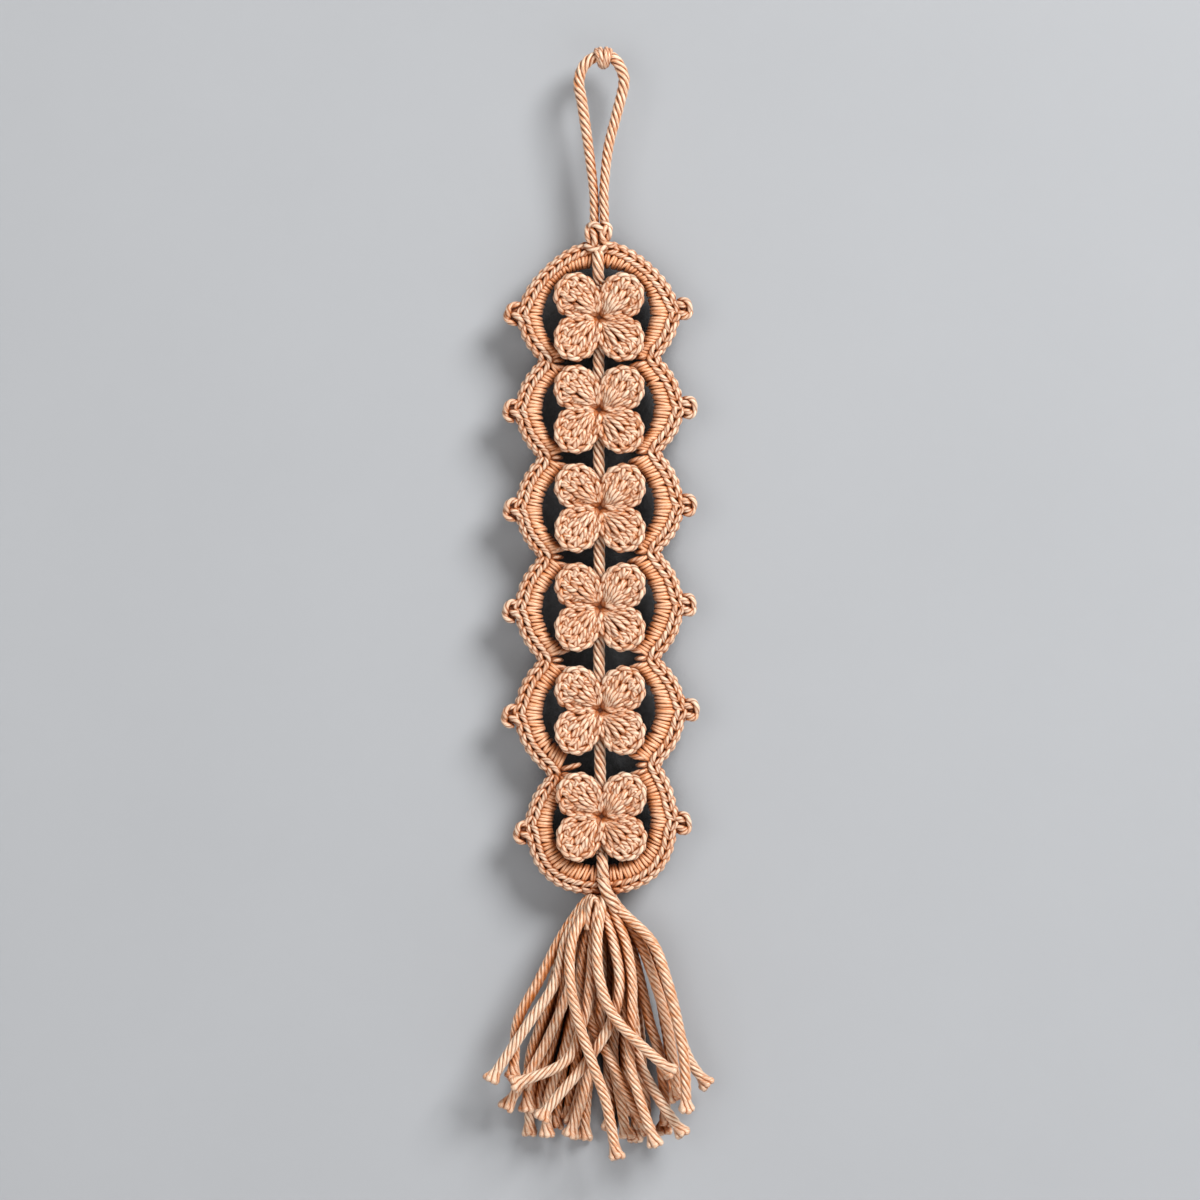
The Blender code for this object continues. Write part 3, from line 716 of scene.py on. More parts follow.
def half_span(number, towards, up, shares):
    """The edging's outer edge and the ring's inner edge over half a motif's side.

    Share 0 is at the motif's level and 1 at its waist, or at the strip's end.
    Towards is -1 for the left and 1 for the right; up is 1 for the upper half and -1 for the lower.
    """
    motif = MOTIFS[number]
    side = motif.left if towards < 0 else motif.right
    level = (motif.z + side.picot_z) / 2
    beyond = number - up
    if 0 <= beyond < len(MOTIFS):
        waist = WAISTS[min(number, beyond)]
        waist_x, waist_z = waist.left if towards < 0 else waist.right
        rise = PICOT_RISE * np.clip(1 - shares / RISE_SHARE, 0.0, 1.0) ** 2
        outer_x = waist_x + (side.outer - waist_x) * (1 - shares**EDGE_FALL) + towards * rise
        outer_z = level + (waist_z - level) * shares
        turn = RING_SWEEP * shares
        inner_x = side.inner - towards * RING_RADIUS * (1 - np.cos(turn))
        inner_z = level + up * RING_RADIUS * np.sin(turn)
    else:
        end = STRIP_TOP if up > 0 else STRIP_BOTTOM
        turn = shares * math.pi / 2
        outer_reach = abs(side.outer - motif.x) * (1 - shares) + end.outer * shares
        outer_reach = outer_reach + end.shoulder * np.sin(2 * turn) ** 2
        outer_reach = outer_reach + PICOT_RISE * np.clip(1 - shares / END_RISE_SHARE, 0.0, 1.0) ** 2
        inner_reach = abs(side.inner - motif.x) * (1 - shares) + end.inner * shares
        middle = motif.z + (level - motif.z) * (1 - shares)
        outer_x = motif.x + towards * outer_reach * np.cos(turn)
        outer_z = middle + up * outer_reach * np.sin(turn)
        inner_x = motif.x + towards * inner_reach * np.cos(turn)
        inner_z = middle + up * inner_reach * np.sin(turn)
    flat = np.zeros_like(shares)
    return np.stack([outer_x, flat, outer_z], axis=1), np.stack([inner_x, flat, inner_z], axis=1)


def clockwise_spans():
    """Every half span in order round the strip, clockwise from its top middle.

    Each is a motif's number, towards and up, as half_span has them, and whether it runs from its level.
    """
    down_right = [(n, 1, up, up < 0) for n in range(len(MOTIFS)) for up in (1, -1)]
    up_left = [(n, -1, up, up > 0) for n in reversed(range(len(MOTIFS))) for up in (-1, 1)]
    return down_right + up_left


def span_edges(span):
    """A half span's outer and inner edges, in clockwise order."""
    number, towards, up, from_level = span
    shares = np.linspace(0.0, 1.0, OUTLINE_STEPS + 1)
    outer, inner = half_span(number, towards, up, shares)
    return (outer, inner) if from_level else (outer[::-1], inner[::-1])


def evened(rows):
    """A closed line's rows, each drawn towards its neighbours."""
    return (np.roll(rows, 1, axis=0) + 2 * rows + np.roll(rows, -1, axis=0)) / 4


def inset_rail(inset, height):
    """A closed rail inside the strip's outer edge, with the place along it where each half span ends."""
    edges = [span_edges(span)[0][:-1] for span in clockwise_spans()]
    outer = evened(np.vstack(edges))
    along = unit(np.roll(outer, -1, axis=0) - np.roll(outer, 1, axis=0))
    inward = np.stack([along[:, 2], np.zeros(len(along)), -along[:, 0]], axis=1)
    for _ in range(INWARD_EVENINGS):
        inward = unit(evened(inward))
    facing = np.broadcast_to(FRONT, outer.shape)
    rail = Rail(outer + inward * inset + FRONT * height, inward, facing, closed=True)
    ends = rail.travelled[np.cumsum([len(edge) for edge in edges])]
    return rail, np.append(0.0, ends)


# ---------------------------------------------------------------- settings


def linear(code):
    """An sRGB hex colour as linear red, green, blue and full alpha."""
    parts = [int(code[i : i + 2], 16) / 255 for i in (1, 3, 5)]
    return (*(c / 12.92 if c <= 0.04045 else ((c + 0.055) / 1.055) ** 2.4 for c in parts), 1.0)


def colour_property(name, description, code):
    return bpy.props.FloatVectorProperty(
        name=name, description=description, default=linear(code), size=4, min=0.0, max=1.0, subtype="COLOR"
    )


def size_property(name, description, millimetres):
    return bpy.props.FloatProperty(
        name=name, description=description, default=millimetres * MM, min=0.0001, unit="LENGTH"
    )


class DecorationSettings(bpy.types.PropertyGroup):
    """Sizes and colours that a user may change before the pieces are built."""

    yarn: size_property("Yarn", "Half the thickness of the crochet yarn", 1.18)
    wrap_yarn: size_property("Wrap yarn", "Half the thickness of the yarn wrapped round the rings", 0.9)
    strand: size_property("Tassel strand", "Half the thickness of a tassel strand", STRAND_RADIUS)
    yarn_colour: colour_property("Yarn", "The yarn in plain light", "#D27A32")
    wrap_colour: colour_property("Wraps", "The yarn wrapped round the rings, in plain light", "#D38144")
    # The crest: paler fibres, and a painted highlight where the yarn lies open.
    crest_and_highlight_colour: colour_property("Crest", "The brightest strands of the yarn", "#FFEED6")
    # The colour of the painted shade between plies and where strands lie deep or go under.
    painted_shade_colour: colour_property("Valley", "The yarn between its plies", "#844018")
    # The colour that painted shade in crevices multiplies into the yarn's colour.
    crevice_shade_colour: colour_property("Deep", "What the deep places leave of the yarn's colour", "#8A4A1C")
    cord_colour: colour_property("Cord", "The laid cord in plain light", "#DA8238")
    wall_colour: colour_property("Wall", "The painted wall behind", "#9FA2A7")
    floor_colour: colour_property("Floor", "The pale floor", "#D9D9DA")


def settings():
    return bpy.context.scene.crochet_decoration


# ---------------------------------------------------------------- materials


def add_node(tree, kind, output, sockets, **properties):
    """Adds a node with its settings, sets or links its sockets, and returns the output of that name."""
    node = tree.nodes.new(kind)
    for name, value in properties.items():
        setattr(node, name, value)
    for name, value in sockets.items():
        if isinstance(value, bpy.types.NodeSocket):
            tree.links.new(value, node.inputs[name])
        else:
            node.inputs[name].default_value = value
    return node.outputs[output] if output else None


def fresh_material(name):
    material = bpy.data.materials.new(name)
    material.use_nodes = True
    material.node_tree.nodes.clear()
    return material


def darkened(colour, share):
    """A colour at a share of its brightness."""
    return [c * share for c in colour[:3]] + [1.0]


# The fibres' pattern: its spots a millimetre along the strand, and its spots round it.
FIBRE_SPOTS = (0.3, 22.0, 1.0)
# What lifts the yarn's colour to its crest: fibres, bright strands and a painted highlight on open places,
# from a start below none.
LIFT_START = -3.64
FIBRE_LIFT = 3.6
STRAND_LIFT = 0.4
OPEN_HIGHLIGHT = 2.4
# Fine lines between plies that the mesh doesn't have, dark with painted shade: how narrow, dark and deep they
# are.
LINE_NARROWNESS = 4.0
LINE_SHADE = 0.3
LINE_DEPTH = 0.6
# How narrow the painted shade in the grooves is.
GROOVE_NARROWNESS = 1.7
# Crevices take painted shade: their sides stand at most this many millimetres off, and it is deepest and
# clear at these open shares.
CREVICE_REACH = 6.0
CREVICE_DEEPEST = 0.08
CREVICE_CLEAR = 0.94
# How far the fibres stand out, in millimetres.
FIBRE_BUMP = 0.2


def cotton_material(name, colour, crest_and_highlight, valley, lines, roughness, alone=False):
    """Mercerised cotton, spun, plied and laid: a soft gloss along the fibres, painted warm shade between the
    plies.

    The piece's strand UV map has the length along the strand in millimetres and the turn round it.
    Real fibres are about 0.02 mm across. They are drawn about 0.3 mm across here, so that they show.
    Lines is how many fine ply lines run round the yarn.
    A piece that is alone takes no painted shade or highlight from what stands near it.
    """
    material = fresh_material(name)
    tree = material.node_tree
    uv = add_node(tree, "ShaderNodeUVMap", "UV", {}, uv_map="strand")
    spots = add_node(tree, "ShaderNodeMapping", "Vector", {"Vector": uv, "Scale": FIBRE_SPOTS})
    fibres = add_node(
        tree, "ShaderNodeTexNoise", "Fac", {"Vector": spots, "Scale": 1.0, "Detail": 2.0, "Roughness": 0.6}
    )
    tone = add_node(tree, "ShaderNodeAttribute", "Fac", {}, attribute_name="tone")
    groove = add_node(tree, "ShaderNodeAttribute", "Fac", {}, attribute_name="valley")
    sockets = {"Distance": CREVICE_REACH * MM}
    open_share = add_node(tree, "ShaderNodeAmbientOcclusion", "AO", sockets, samples=5, only_local=alone)

    turn = add_node(tree, "ShaderNodeSeparateXYZ", "Y", {"Vector": uv})
    turn = add_node(tree, "ShaderNodeMath", "Value", {0: turn, 1: 2 * math.pi * lines}, operation="MULTIPLY")
    wave = add_node(tree, "ShaderNodeMath", "Value", {0: turn}, operation="COSINE")
    wave = add_node(tree, "ShaderNodeMath", "Value", {0: wave, 1: 0.5, 2: 0.5}, operation="MULTIPLY_ADD")
    line = add_node(tree, "ShaderNodeMath", "Value", {0: wave, 1: LINE_NARROWNESS}, operation="POWER")

    lift = LIFT_START
    for source, share in ((fibres, FIBRE_LIFT), (tone, STRAND_LIFT), (open_share, OPEN_HIGHLIGHT)):
        sockets = {0: source, 1: share, 2: lift}
        lift = add_node(tree, "ShaderNodeMath", "Value", sockets, operation="MULTIPLY_ADD")
    lift.node.use_clamp = True
    narrow = add_node(tree, "ShaderNodeMath", "Value", {0: groove, 1: GROOVE_NARROWNESS}, operation="POWER")
    sockets = {0: line, 1: LINE_SHADE, 2: narrow}
    shade = add_node(tree, "ShaderNodeMath", "Value", sockets, operation="MULTIPLY_ADD", use_clamp=True)
    sockets = {"Value": open_share, "From Min": CREVICE_CLEAR, "From Max": CREVICE_DEEPEST}
    crevice_shade = add_node(tree, "ShaderNodeMapRange", "Result", sockets)
    for factor, towards, blend in (
        (lift, crest_and_highlight, "MIX"),
        (shade, valley, "MIX"),
        (crevice_shade, settings().crevice_shade_colour, "MULTIPLY"),
    ):
        sockets = {"Factor": factor, "A": colour, "B": towards}
        colour = add_node(tree, "ShaderNodeMix", "Result", sockets, data_type="RGBA", blend_type=blend)

    sockets = {0: line, 1: -LINE_DEPTH, 2: fibres}
    height = add_node(tree, "ShaderNodeMath", "Value", sockets, operation="MULTIPLY_ADD")
    sockets = {"Height": height, "Strength": 0.5, "Distance": FIBRE_BUMP * MM}
    bump = add_node(tree, "ShaderNodeBump", "Normal", sockets)
    shader = add_node(
        tree,
        "ShaderNodeBsdfPrincipled",
        "BSDF",
        {
            "Base Color": colour,
            "Roughness": roughness,
            "IOR": 1.53,
            "Specular IOR Level": 0.65,
            "Specular Tint": (1.0, 0.88, 0.72, 1.0),
            "Sheen Weight": 0.03,
            "Sheen Roughness": 0.4,
            "Sheen Tint": (1.0, 0.8, 0.6, 1.0),
            "Normal": bump,
        },
    )
    add_node(tree, "ShaderNodeOutputMaterial", None, {"Surface": shader})
    return material


def finish(kind):
    """The material of a kind of yarn, made once."""
    name = f"mercerised_cotton_{kind}"
    if name in bpy.data.materials:
        return bpy.data.materials[name]
    chosen = settings()
    crest_and_highlight, valley = chosen.crest_and_highlight_colour, chosen.painted_shade_colour
    wrap = chosen.wrap_colour
    wrap_crest_and_highlight = [(a + b) / 2 for a, b in zip(wrap, crest_and_highlight)]
    painted_hollow_shade = darkened(valley, 0.4)
    # Each kind's colour, crest with painted highlight, colour of painted shade between plies, fine ply lines
    # and roughness, and if it is alone. The last two kinds are painted shade all over.
    kinds = {
        "cord": (chosen.cord_colour, crest_and_highlight, valley, 0.0, 0.42, True),
        "stitches": (chosen.yarn_colour, crest_and_highlight, valley, 0.0, 0.42),
        "wraps": (wrap, wrap_crest_and_highlight, valley, 2.0, 0.4),
        "painted_hollow_shade": (painted_hollow_shade, painted_hollow_shade, painted_hollow_shade, 0.0, 0.9),
        "shade": (valley, valley, valley, 0.0, 0.8),
    }
    return cotton_material(name, *kinds[kind])


def mottled(tree, place, colour, darkest, scale, detail, roughness):
    """A colour in faint clouds, at its darkest a share of its brightness. Scale is the clouds a metre."""
    sockets = {"Vector": place, "Scale": scale, "Detail": detail, "Roughness": roughness}
    clouds = add_node(tree, "ShaderNodeTexNoise", "Fac", sockets)
    sockets = {"Factor": clouds, "A": darkened(colour, darkest), "B": colour}
    return add_node(tree, "ShaderNodeMix", "Result", sockets, data_type="RGBA")


# The wall takes a painted shadow where the strip hides it within this many metres: black at one open share
# and clear at another. Below the strip that painted shadow fades out between two heights, as this is added to
# the open share.
PAINTED_SHADOW_REACH = 0.03
PAINTED_SHADOW_BLACK = 0.42
PAINTED_SHADOW_CLEAR = 0.7
FADE_TOP = -0.338
FADE_FOOT = -0.352
FADE_SHARE = 0.35


def painted_wall():
    """Matt emulsion, rolled on: even pale grey in faint clouds about 140 mm across, with a painted shadow
    where the strip hides it.

    It is clear from behind, so that the back of the piece can be seen.
    """
    material = fresh_material("matt_paint_with_painted_shadow")
    tree = material.node_tree
    place = add_node(tree, "ShaderNodeTexCoord", "Object", {})
    grey = mottled(tree, place, settings().wall_colour, darkest=0.93, scale=7.0, detail=5.0, roughness=0.6)
    sockets = {"Distance": PAINTED_SHADOW_REACH}
    open_share = add_node(tree, "ShaderNodeAmbientOcclusion", "AO", sockets, samples=16)
    height = add_node(tree, "ShaderNodeSeparateXYZ", "Z", {"Vector": place})
    sockets = {"Value": height, "From Min": FADE_TOP, "From Max": FADE_FOOT, "To Max": FADE_SHARE}
    below = add_node(tree, "ShaderNodeMapRange", "Result", sockets)
    share = add_node(tree, "ShaderNodeMath", "Value", {0: open_share, 1: below}, operation="ADD")
    sockets = {"Value": share, "From Min": PAINTED_SHADOW_BLACK, "From Max": PAINTED_SHADOW_CLEAR}
    depth = add_node(tree, "ShaderNodeMapRange", "Result", sockets, interpolation_type="SMOOTHSTEP")
    sockets = {"Factor": depth, "A": (0.0, 0.0, 0.0, 1.0), "B": grey}
    shaded = add_node(tree, "ShaderNodeMix", "Result", sockets, data_type="RGBA")
    sockets = {"Base Color": shaded, "Roughness": 0.9, "Specular IOR Level": 0.1}
    paint = add_node(tree, "ShaderNodeBsdfPrincipled", "BSDF", sockets)
    clear = add_node(tree, "ShaderNodeBsdfTransparent", "BSDF", {})
    behind = add_node(tree, "ShaderNodeNewGeometry", "Backfacing", {})
    both = add_node(tree, "ShaderNodeMixShader", "Shader", {0: behind, 1: paint, 2: clear})
    add_node(tree, "ShaderNodeOutputMaterial", None, {"Surface": both})
    return material


def pale_floor():
    """Sealed screed: an even pale grey with a slight mottle about 80 mm across."""
    material = fresh_material("sealed_pale_screed")
    tree = material.node_tree
    place = add_node(tree, "ShaderNodeTexCoord", "Object", {})
    floor = settings().floor_colour
    grey = mottled(tree, place, floor, darkest=0.94, scale=12.0, detail=4.0, roughness=0.5)
    shader = add_node(tree, "ShaderNodeBsdfPrincipled", "BSDF", {"Base Color": grey, "Roughness": 0.7})
    add_node(tree, "ShaderNodeOutputMaterial", None, {"Surface": shader})
    return material


def place_piece(obj, slot, *nodes):
    """Sets a piece on the body, and hides the CAD nodes that it stands for. Its slot is not used."""
    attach(obj, "root")
    if nodes:
        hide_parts(*nodes)
    return obj


# ---------------------------------------------------------------- operators

# The stage, in metres.
VIEW_DISTANCE = 2.0
VIEW_LENS = 142.9
VIEW_SENSOR = 36.0
VIEW_HEIGHT = -0.223
WALL_Y = 0.0168
WALL_HALF = 1.3
FLOOR_Z = -0.64

AreaLight = namedtuple("AreaLight", "name place size power colour")
LIGHTS = (
    AreaLight("key", (1.6, -2.1, 1.5), 1.6, 145.0, (1.0, 0.985, 0.96)),
    AreaLight("fill", (-1.0, -2.1, -0.1), 1.6, 17.0, (1.0, 0.97, 0.94)),
)
WORLD_COLOUR = (1.0, 0.95, 0.86, 1.0)
WORLD_STRENGTH = 0.18


def aim(obj, target):
    """Points a camera or a light at a place."""
    direction = np.array(target) - np.array(obj.location)
    flat = math.hypot(direction[0], direction[1])
    obj.rotation_euler = (
        math.pi / 2 + math.atan2(direction[2], flat),
        0.0,
        math.atan2(direction[1], direction[0]) - math.pi / 2,
    )


class CROCHET_OT_stage(bpy.types.Operator):
    """Adds the wall, the floor, soft lights and the camera"""

    bl_idname = "crochet.stage"
    bl_label = "Stage"

    def execute(self, context):
        centre = (0.0, 0.0, VIEW_HEIGHT)
        for name, place, tilt, material in (
            ("stage_wall", (0.0, WALL_Y, FLOOR_Z + WALL_HALF), math.pi / 2, painted_wall()),
            ("stage_floor", (0.0, WALL_Y - WALL_HALF, FLOOR_Z), 0.0, pale_floor()),
        ):
            bpy.ops.object.select_all(action="DESELECT")
            bpy.ops.mesh.primitive_plane_add(size=2 * WALL_HALF, location=place, rotation=(tilt, 0.0, 0.0))
            plane = context.object
            plane.name = name
            bpy.ops.object.transform_apply(location=True, rotation=True, scale=True)
            plane.data.materials.append(material)
        camera = bpy.data.objects.new("camera", bpy.data.cameras.new("camera"))
        context.scene.collection.objects.link(camera)
        camera.location = (0.0, -VIEW_DISTANCE, VIEW_HEIGHT)
        camera.data.lens = VIEW_LENS
        camera.data.sensor_width = VIEW_SENSOR
        aim(camera, centre)
        context.scene.camera = camera
        for row in LIGHTS:
            data = bpy.data.lights.new(row.name, "AREA")
            data.shape = "DISK"
            data.size = row.size
            data.energy = row.power
            data.color = row.colour
            light = bpy.data.objects.new(row.name, data)
            light.location = row.place
            aim(light, centre)
            context.scene.collection.objects.link(light)
        world = bpy.data.worlds.new("studio")
        world.use_nodes = True
        background = world.node_tree.nodes["Background"]
        background.inputs["Color"].default_value = WORLD_COLOUR
        background.inputs["Strength"].default_value = WORLD_STRENGTH
        context.scene.world = world
        context.scene.view_settings.view_transform = "Standard"
        return {"FINISHED"}


class CROCHET_OT_hanging_loop(bpy.types.Operator):
    bl_idname = "crochet.hanging_loop"
    bl_label = "Hanging loop"

    def execute(self, context):
        whipping = Strands(seed=11)
        centre = np.array(WHIPPING_CENTRE)
        turn = np.linspace(0.0, 2 * math.pi, WHIPPING_POINTS, endpoint=False)
        for row in WHIPPING_TURNS:
            drift = (row.top + row.foot) / 2 + (row.top - row.foot) / 2 * np.sin(turn)
            path = centre + np.stack([drift, row.radius * np.cos(turn), row.radius * np.sin(turn)], axis=1)
            once_round = lengths_along(path, closed=True)[-1]
            whipping.sweep(path, WHIPPING_YARN, YARN_SECTION, facing=RIGHT, closed=True, lay=once_round / 2)
        whipping = whipping.place("loop_whipping", "stitches", "whipping", "whipping")

        loop = Strands(seed=12)
        path = smooth(LOOP_ROUTE, spacing=LOOP_LAY / POINTS_A_LAY)
        share = (LOOP_TAPER_TOP - path[:, 2]) / (LOOP_TAPER_TOP - LOOP_ROUTE[0][2])
        share = np.clip(share / LOOP_TAPER_SHARE, 0.0, 1.0)
        radius = LOOP_RADIUS + (LOOP_FOOT_RADIUS - LOOP_RADIUS) * share
        loop.sweep(path, radius, CENTRE_SECTION, lay=LOOP_LAY, tone=LOOP_TONE)
        loop = loop.place("loop_cord", "cord", "cord", "hanging_loop")
        lengths_along(path)[-1] * MM
        [tuple(point * MM) for point in spaced(path, DECLARED_SPACING)]
        return {"FINISHED"}


class CROCHET_OT_hitch(bpy.types.Operator):
    """Builds the hitch that ties the loop over the strip's top edge"""

    bl_idname = "crochet.hitch"
    bl_label = "Hitch"

    def execute(self, context):
        hitch = Strands(seed=21)
        for row in HITCH:
            path = smooth(row.route, spacing=SHORT_SPACING)
            from_end = np.minimum(np.arange(len(path)), np.arange(len(path))[::-1])
            taper = np.clip(from_end / END_TAPER_POINTS + END_TAPER_SHARE, END_TAPER_SHARE, 1.0)
            hitch.sweep(path, row.radius * HITCH_FULLNESS * taper, YARN_SECTION, lay=YARN_LAY)
        hitch.place("loop_hitch", "stitches", "cord", "hitch")
        return {"FINISHED"}


class CROCHET_OT_edging(bpy.types.Operator):
    """Builds the chain of stitches round the strip, front and back, its outer scallops and its core"""

    bl_idname = "crochet.edging"
    bl_label = "Edging"

    def execute(self, context):
        yarn = settings().yarn / MM
        rail, ends = inset_rail(CHAIN_INSET, CHAIN_FRONT)
        back = Rail(rail.points * (1.0, -1.0, 1.0), rail.side, -rail.facing, closed=True)
        edge, _ = inset_rail(SCALLOP_INSET, 0.0)
        chain, behind, scallops = Strands(seed=31), Strands(seed=32), Strands(seed=33)
        for start, end in zip(ends, ends[1:]):
            stitches = max(1, round((end - start) / CHAIN_PITCH))
            pitch = (end - start) / stitches
            for stitch in range(stitches):
                foot = end - stitch * pitch
                ahead, wider = chain.random.normal(0.0, CHAIN_UNEVENNESS, 2)
                half_width = CHAIN_HALF_WIDTH * (1 + wider)
                for side in (1, -1):
                    work_leg(
                        chain, rail, foot + ahead * pitch, -pitch, CHAIN_LEG, side, half_width, yarn,
                        YARN_SECTION, tilt=CHAIN_TILT,
                    )
                    work_leg(
                        behind, back, foot, -pitch, CHAIN_LEG, side, CHAIN_HALF_WIDTH, yarn,
                        WRAP_SECTION, tilt=CHAIN_TILT,
                    )
                work_leg(
                    scallops, edge, foot / rail.length * edge.length, -pitch * edge.length / rail.length,
                    SCALLOP_LEG, -1, SCALLOP_HALF_WIDTH, yarn, YARN_SECTION,
                )
        chain.place("edging_chain", "stitches", "band_yarn", "band")
        behind.place("edging_back", "wraps", "band_yarn")
        scallops.place("edging_scallops", "stitches", "band_yarn")
        core = Strands(seed=34)
        middle, _ = inset_rail(CHAIN_INSET, 0.0)
        core.sweep(middle.points, EDGE_CORE_RADIUS, WRAP_SECTION, closed=True, tone=CORE_TONE)
        # The core is dark all over with painted shade.
        core.place("edging_core", "shade", "band_yarn")
        return {"FINISHED"}


def wrap_half_span(wraps, core, border, span, start, end, yarn):
    """Wraps yarn over a half span of a ring, from start to end along its border, and lays the core inside."""
    inner = spaced(span_edges(span)[1], WRAP_EDGE_SPACING)
    travelled = lengths_along(inner)
    count = max(3, round((travelled[-1] + end - start) / 2 / WRAP_PITCH))
    share = (np.arange(count) + 0.5) / count
    inside = at_lengths(inner, travelled, share * travelled[-1])
    outside, _, _ = border.at(start + (end - start) * share)
    middle = (inside + outside) / 2
    width = np.linalg.norm(outside - inside, axis=1)
    across = unit(outside - inside)
    turn = np.linspace(0.0, 2 * math.pi, WRAP_POINTS, endpoint=False) + math.pi
    outwards, forwards = np.cos(turn), np.sin(turn)
    shade = np.clip(-WRAP_SHADE_START - outwards, WRAP_SHADE_LEAST, WRAP_SHADE_MOST)
    girth = WRAP_GIRTH + WRAP_GIRTH_SWING * outwards
    for k in range(count):
        along = np.cross(across[k], FRONT)
        pair = WRAP_PAIR_DRAW * (1 if k % 2 else -1)
        slant = WRAP_SLANT + wraps.random.normal(0.0, WRAP_SLANT_SPREAD)
        depth = WRAP_HALF_DEPTH * (1 + wraps.random.normal(0.0, WRAP_DEPTH_SPREAD))
        path = (
            middle[k]
            + across[k] * ((width[k] / 2 - WRAP_CLEARANCE) * outwards)[:, None]
            + FRONT * (depth * forwards)[:, None]
            + along * (slant * outwards + pair * (1 + outwards) / 2)[:, None]
        )
        radius = yarn * girth * (1 + wraps.random.normal(0.0, WRAP_GIRTH_SPREAD))
        wraps.sweep(path, radius, WRAP_SECTION, facing=along, closed=True, shade=shade)
    radius = width.mean() / 2 - RING_CORE_CLEARANCE
    core.sweep(smooth(middle, 1), radius, RING_CORE_SECTION, flat=RING_CORE_FLATNESS, tone=CORE_TONE)


def work_spurs(spurs, x, z):
    """The short spurs that run inwards from one side of a waist."""
    inward = -1 if x > 0 else 1
    for spur in SPURS:
        route = [
            (
                x + inward * (point.share * spur.reach + point.more),
                point.y,
                z + spur.root + (spur.tip - spur.root) * point.climb,
                point.radius,
            )
            for point in SPUR
        ]
        spurs.sweep_route(route, 3, YARN_SECTION, lay=YARN_LAY)


class CROCHET_OT_rings(bpy.types.Operator):
    """Wraps yarn round the rings, over the cord inside them, and works the short spurs at the waists"""

    bl_idname = "crochet.rings"
    bl_label = "Rings"

    def execute(self, context):
        yarn = settings().wrap_yarn / MM
        wraps, core, spurs = Strands(seed=41), Strands(seed=42), Strands(seed=43)
        border, ends = inset_rail(WRAP_INSET, 0.0)
        for span, start, end in zip(clockwise_spans(), ends, ends[1:]):
            wrap_half_span(wraps, core, border, span, start, end, yarn)
        wraps.place("ring_wraps", "wraps", "band_yarn")
        # The core is dark all over with painted shade.
        core.place("ring_core", "shade", "band_yarn")
        for waist in WAISTS:
            for x, z in waist:
                work_spurs(spurs, x, z)
        spurs.place("waist_spurs", "stitches", "band_yarn")
        return {"FINISHED"}


class CROCHET_OT_picots(bpy.types.Operator):
    """Builds the small knobs of curled yarn at the strip's sides"""

    bl_idname = "crochet.picots"
    bl_label = "Picots"

    def execute(self, context):
        yarn = settings().yarn / MM
        knobs = Strands(seed=51)
        for motif in MOTIFS:
            for side, towards, strands in ((motif.left, -1, PICOT_LEFT), (motif.right, 1, PICOT_RIGHT)):
                for strand in strands:
                    rows = np.array(strand)
                    rows[:, :2] *= PICOT_SIZE
                    rows[:, :2] += knobs.random.normal(0.0, PICOT_UNEVENNESS, (len(rows), 2))
                    out, up, forward, girth = rows.T
                    x, z = side.picot_x + towards * out, side.picot_z + up
                    route = np.stack([x, -forward, z, girth * yarn], axis=1)
                    knobs.sweep_route(route, 4, YARN_SECTION, lay=YARN_LAY)
        knobs.place("picot_knobs", "stitches", "band_yarn")
        return {"FINISHED"}


def petal_reach(angle):
    """How far a flower reaches at an angle from +X."""
    lobe = np.abs(np.sin(2 * angle)) ** PETAL_SQUARENESS
    notch = (NOTCH_AT_SIDE + NOTCH_AT_TOP) / 2 + (NOTCH_AT_SIDE - NOTCH_AT_TOP) / 2 * np.cos(2 * angle)
    return notch + (PETAL_TIP - notch) * lobe


def flower_place(motif, angle, reach, lift=0.0):
    """A place on the flower's dome: lift is the height above the dome of its stitches."""
    share = reach / petal_reach(angle)
    domed = VALLEY_SHARE + (1 - VALLEY_SHARE) * np.abs(np.sin(2 * angle))
    height = np.interp(share, DOME_SHARES, DOME_HEIGHTS) * domed + lift
    return np.stack(
        [motif.x + reach * np.cos(angle), FLOWER_BACK - height, motif.z + reach * np.sin(angle)], axis=-1
    )


def petal_rim(motif, middle):
    """The rail of a petal's rim, from the flower's middle round the lobe and back."""
    angle = middle + np.radians(np.linspace(-RIM_SPREAD, RIM_SPREAD, RIM_POINTS))
    reach = petal_reach(angle)
    edge = np.stack([reach * np.cos(angle), reach * np.sin(angle)], axis=1)
    along = unit(np.gradient(edge, axis=0))
    lobe = edge + RIM_INSET * np.stack([-along[:, 1], along[:, 0]], axis=1)
    first = middle - math.pi / 4
    legs = [(first + math.asin(beside / reach), reach) for reach, beside in RIM_ENDS]
    start = [(r * math.cos(a), r * math.sin(a)) for a, r in legs]
    end = [(r * math.cos(2 * middle - a), r * math.sin(2 * middle - a)) for a, r in legs[::-1]]
    line = np.vstack([start, lobe, end])
    x, y, _ = smooth(np.column_stack([line, np.zeros(len(line))]), 3, spacing=RIM_SPACING).T
    return rail_facing_front(flower_place(motif, np.arctan2(y, x), np.hypot(x, y)))


def work_petal_rim(flower, motif, middle, yarn):
    """The chained rim round a petal."""
    rail = petal_rim(motif, middle)
    stitches = round(rail.length / RIM_PITCH)
    pitch = rail.length / stitches
    for stitch in range(stitches):
        for side in (1, -1):
            ahead, wider = flower.random.normal(0.0, RIM_UNEVENNESS, 2)
            half_width = RIM_HALF_WIDTH * (1 + wider)
            work_leg(
                flower, rail, (stitch + ahead) * pitch, pitch, CHAIN_LEG, side, half_width, yarn,
                YARN_SECTION, tilt=RIM_TILT * side,
            )


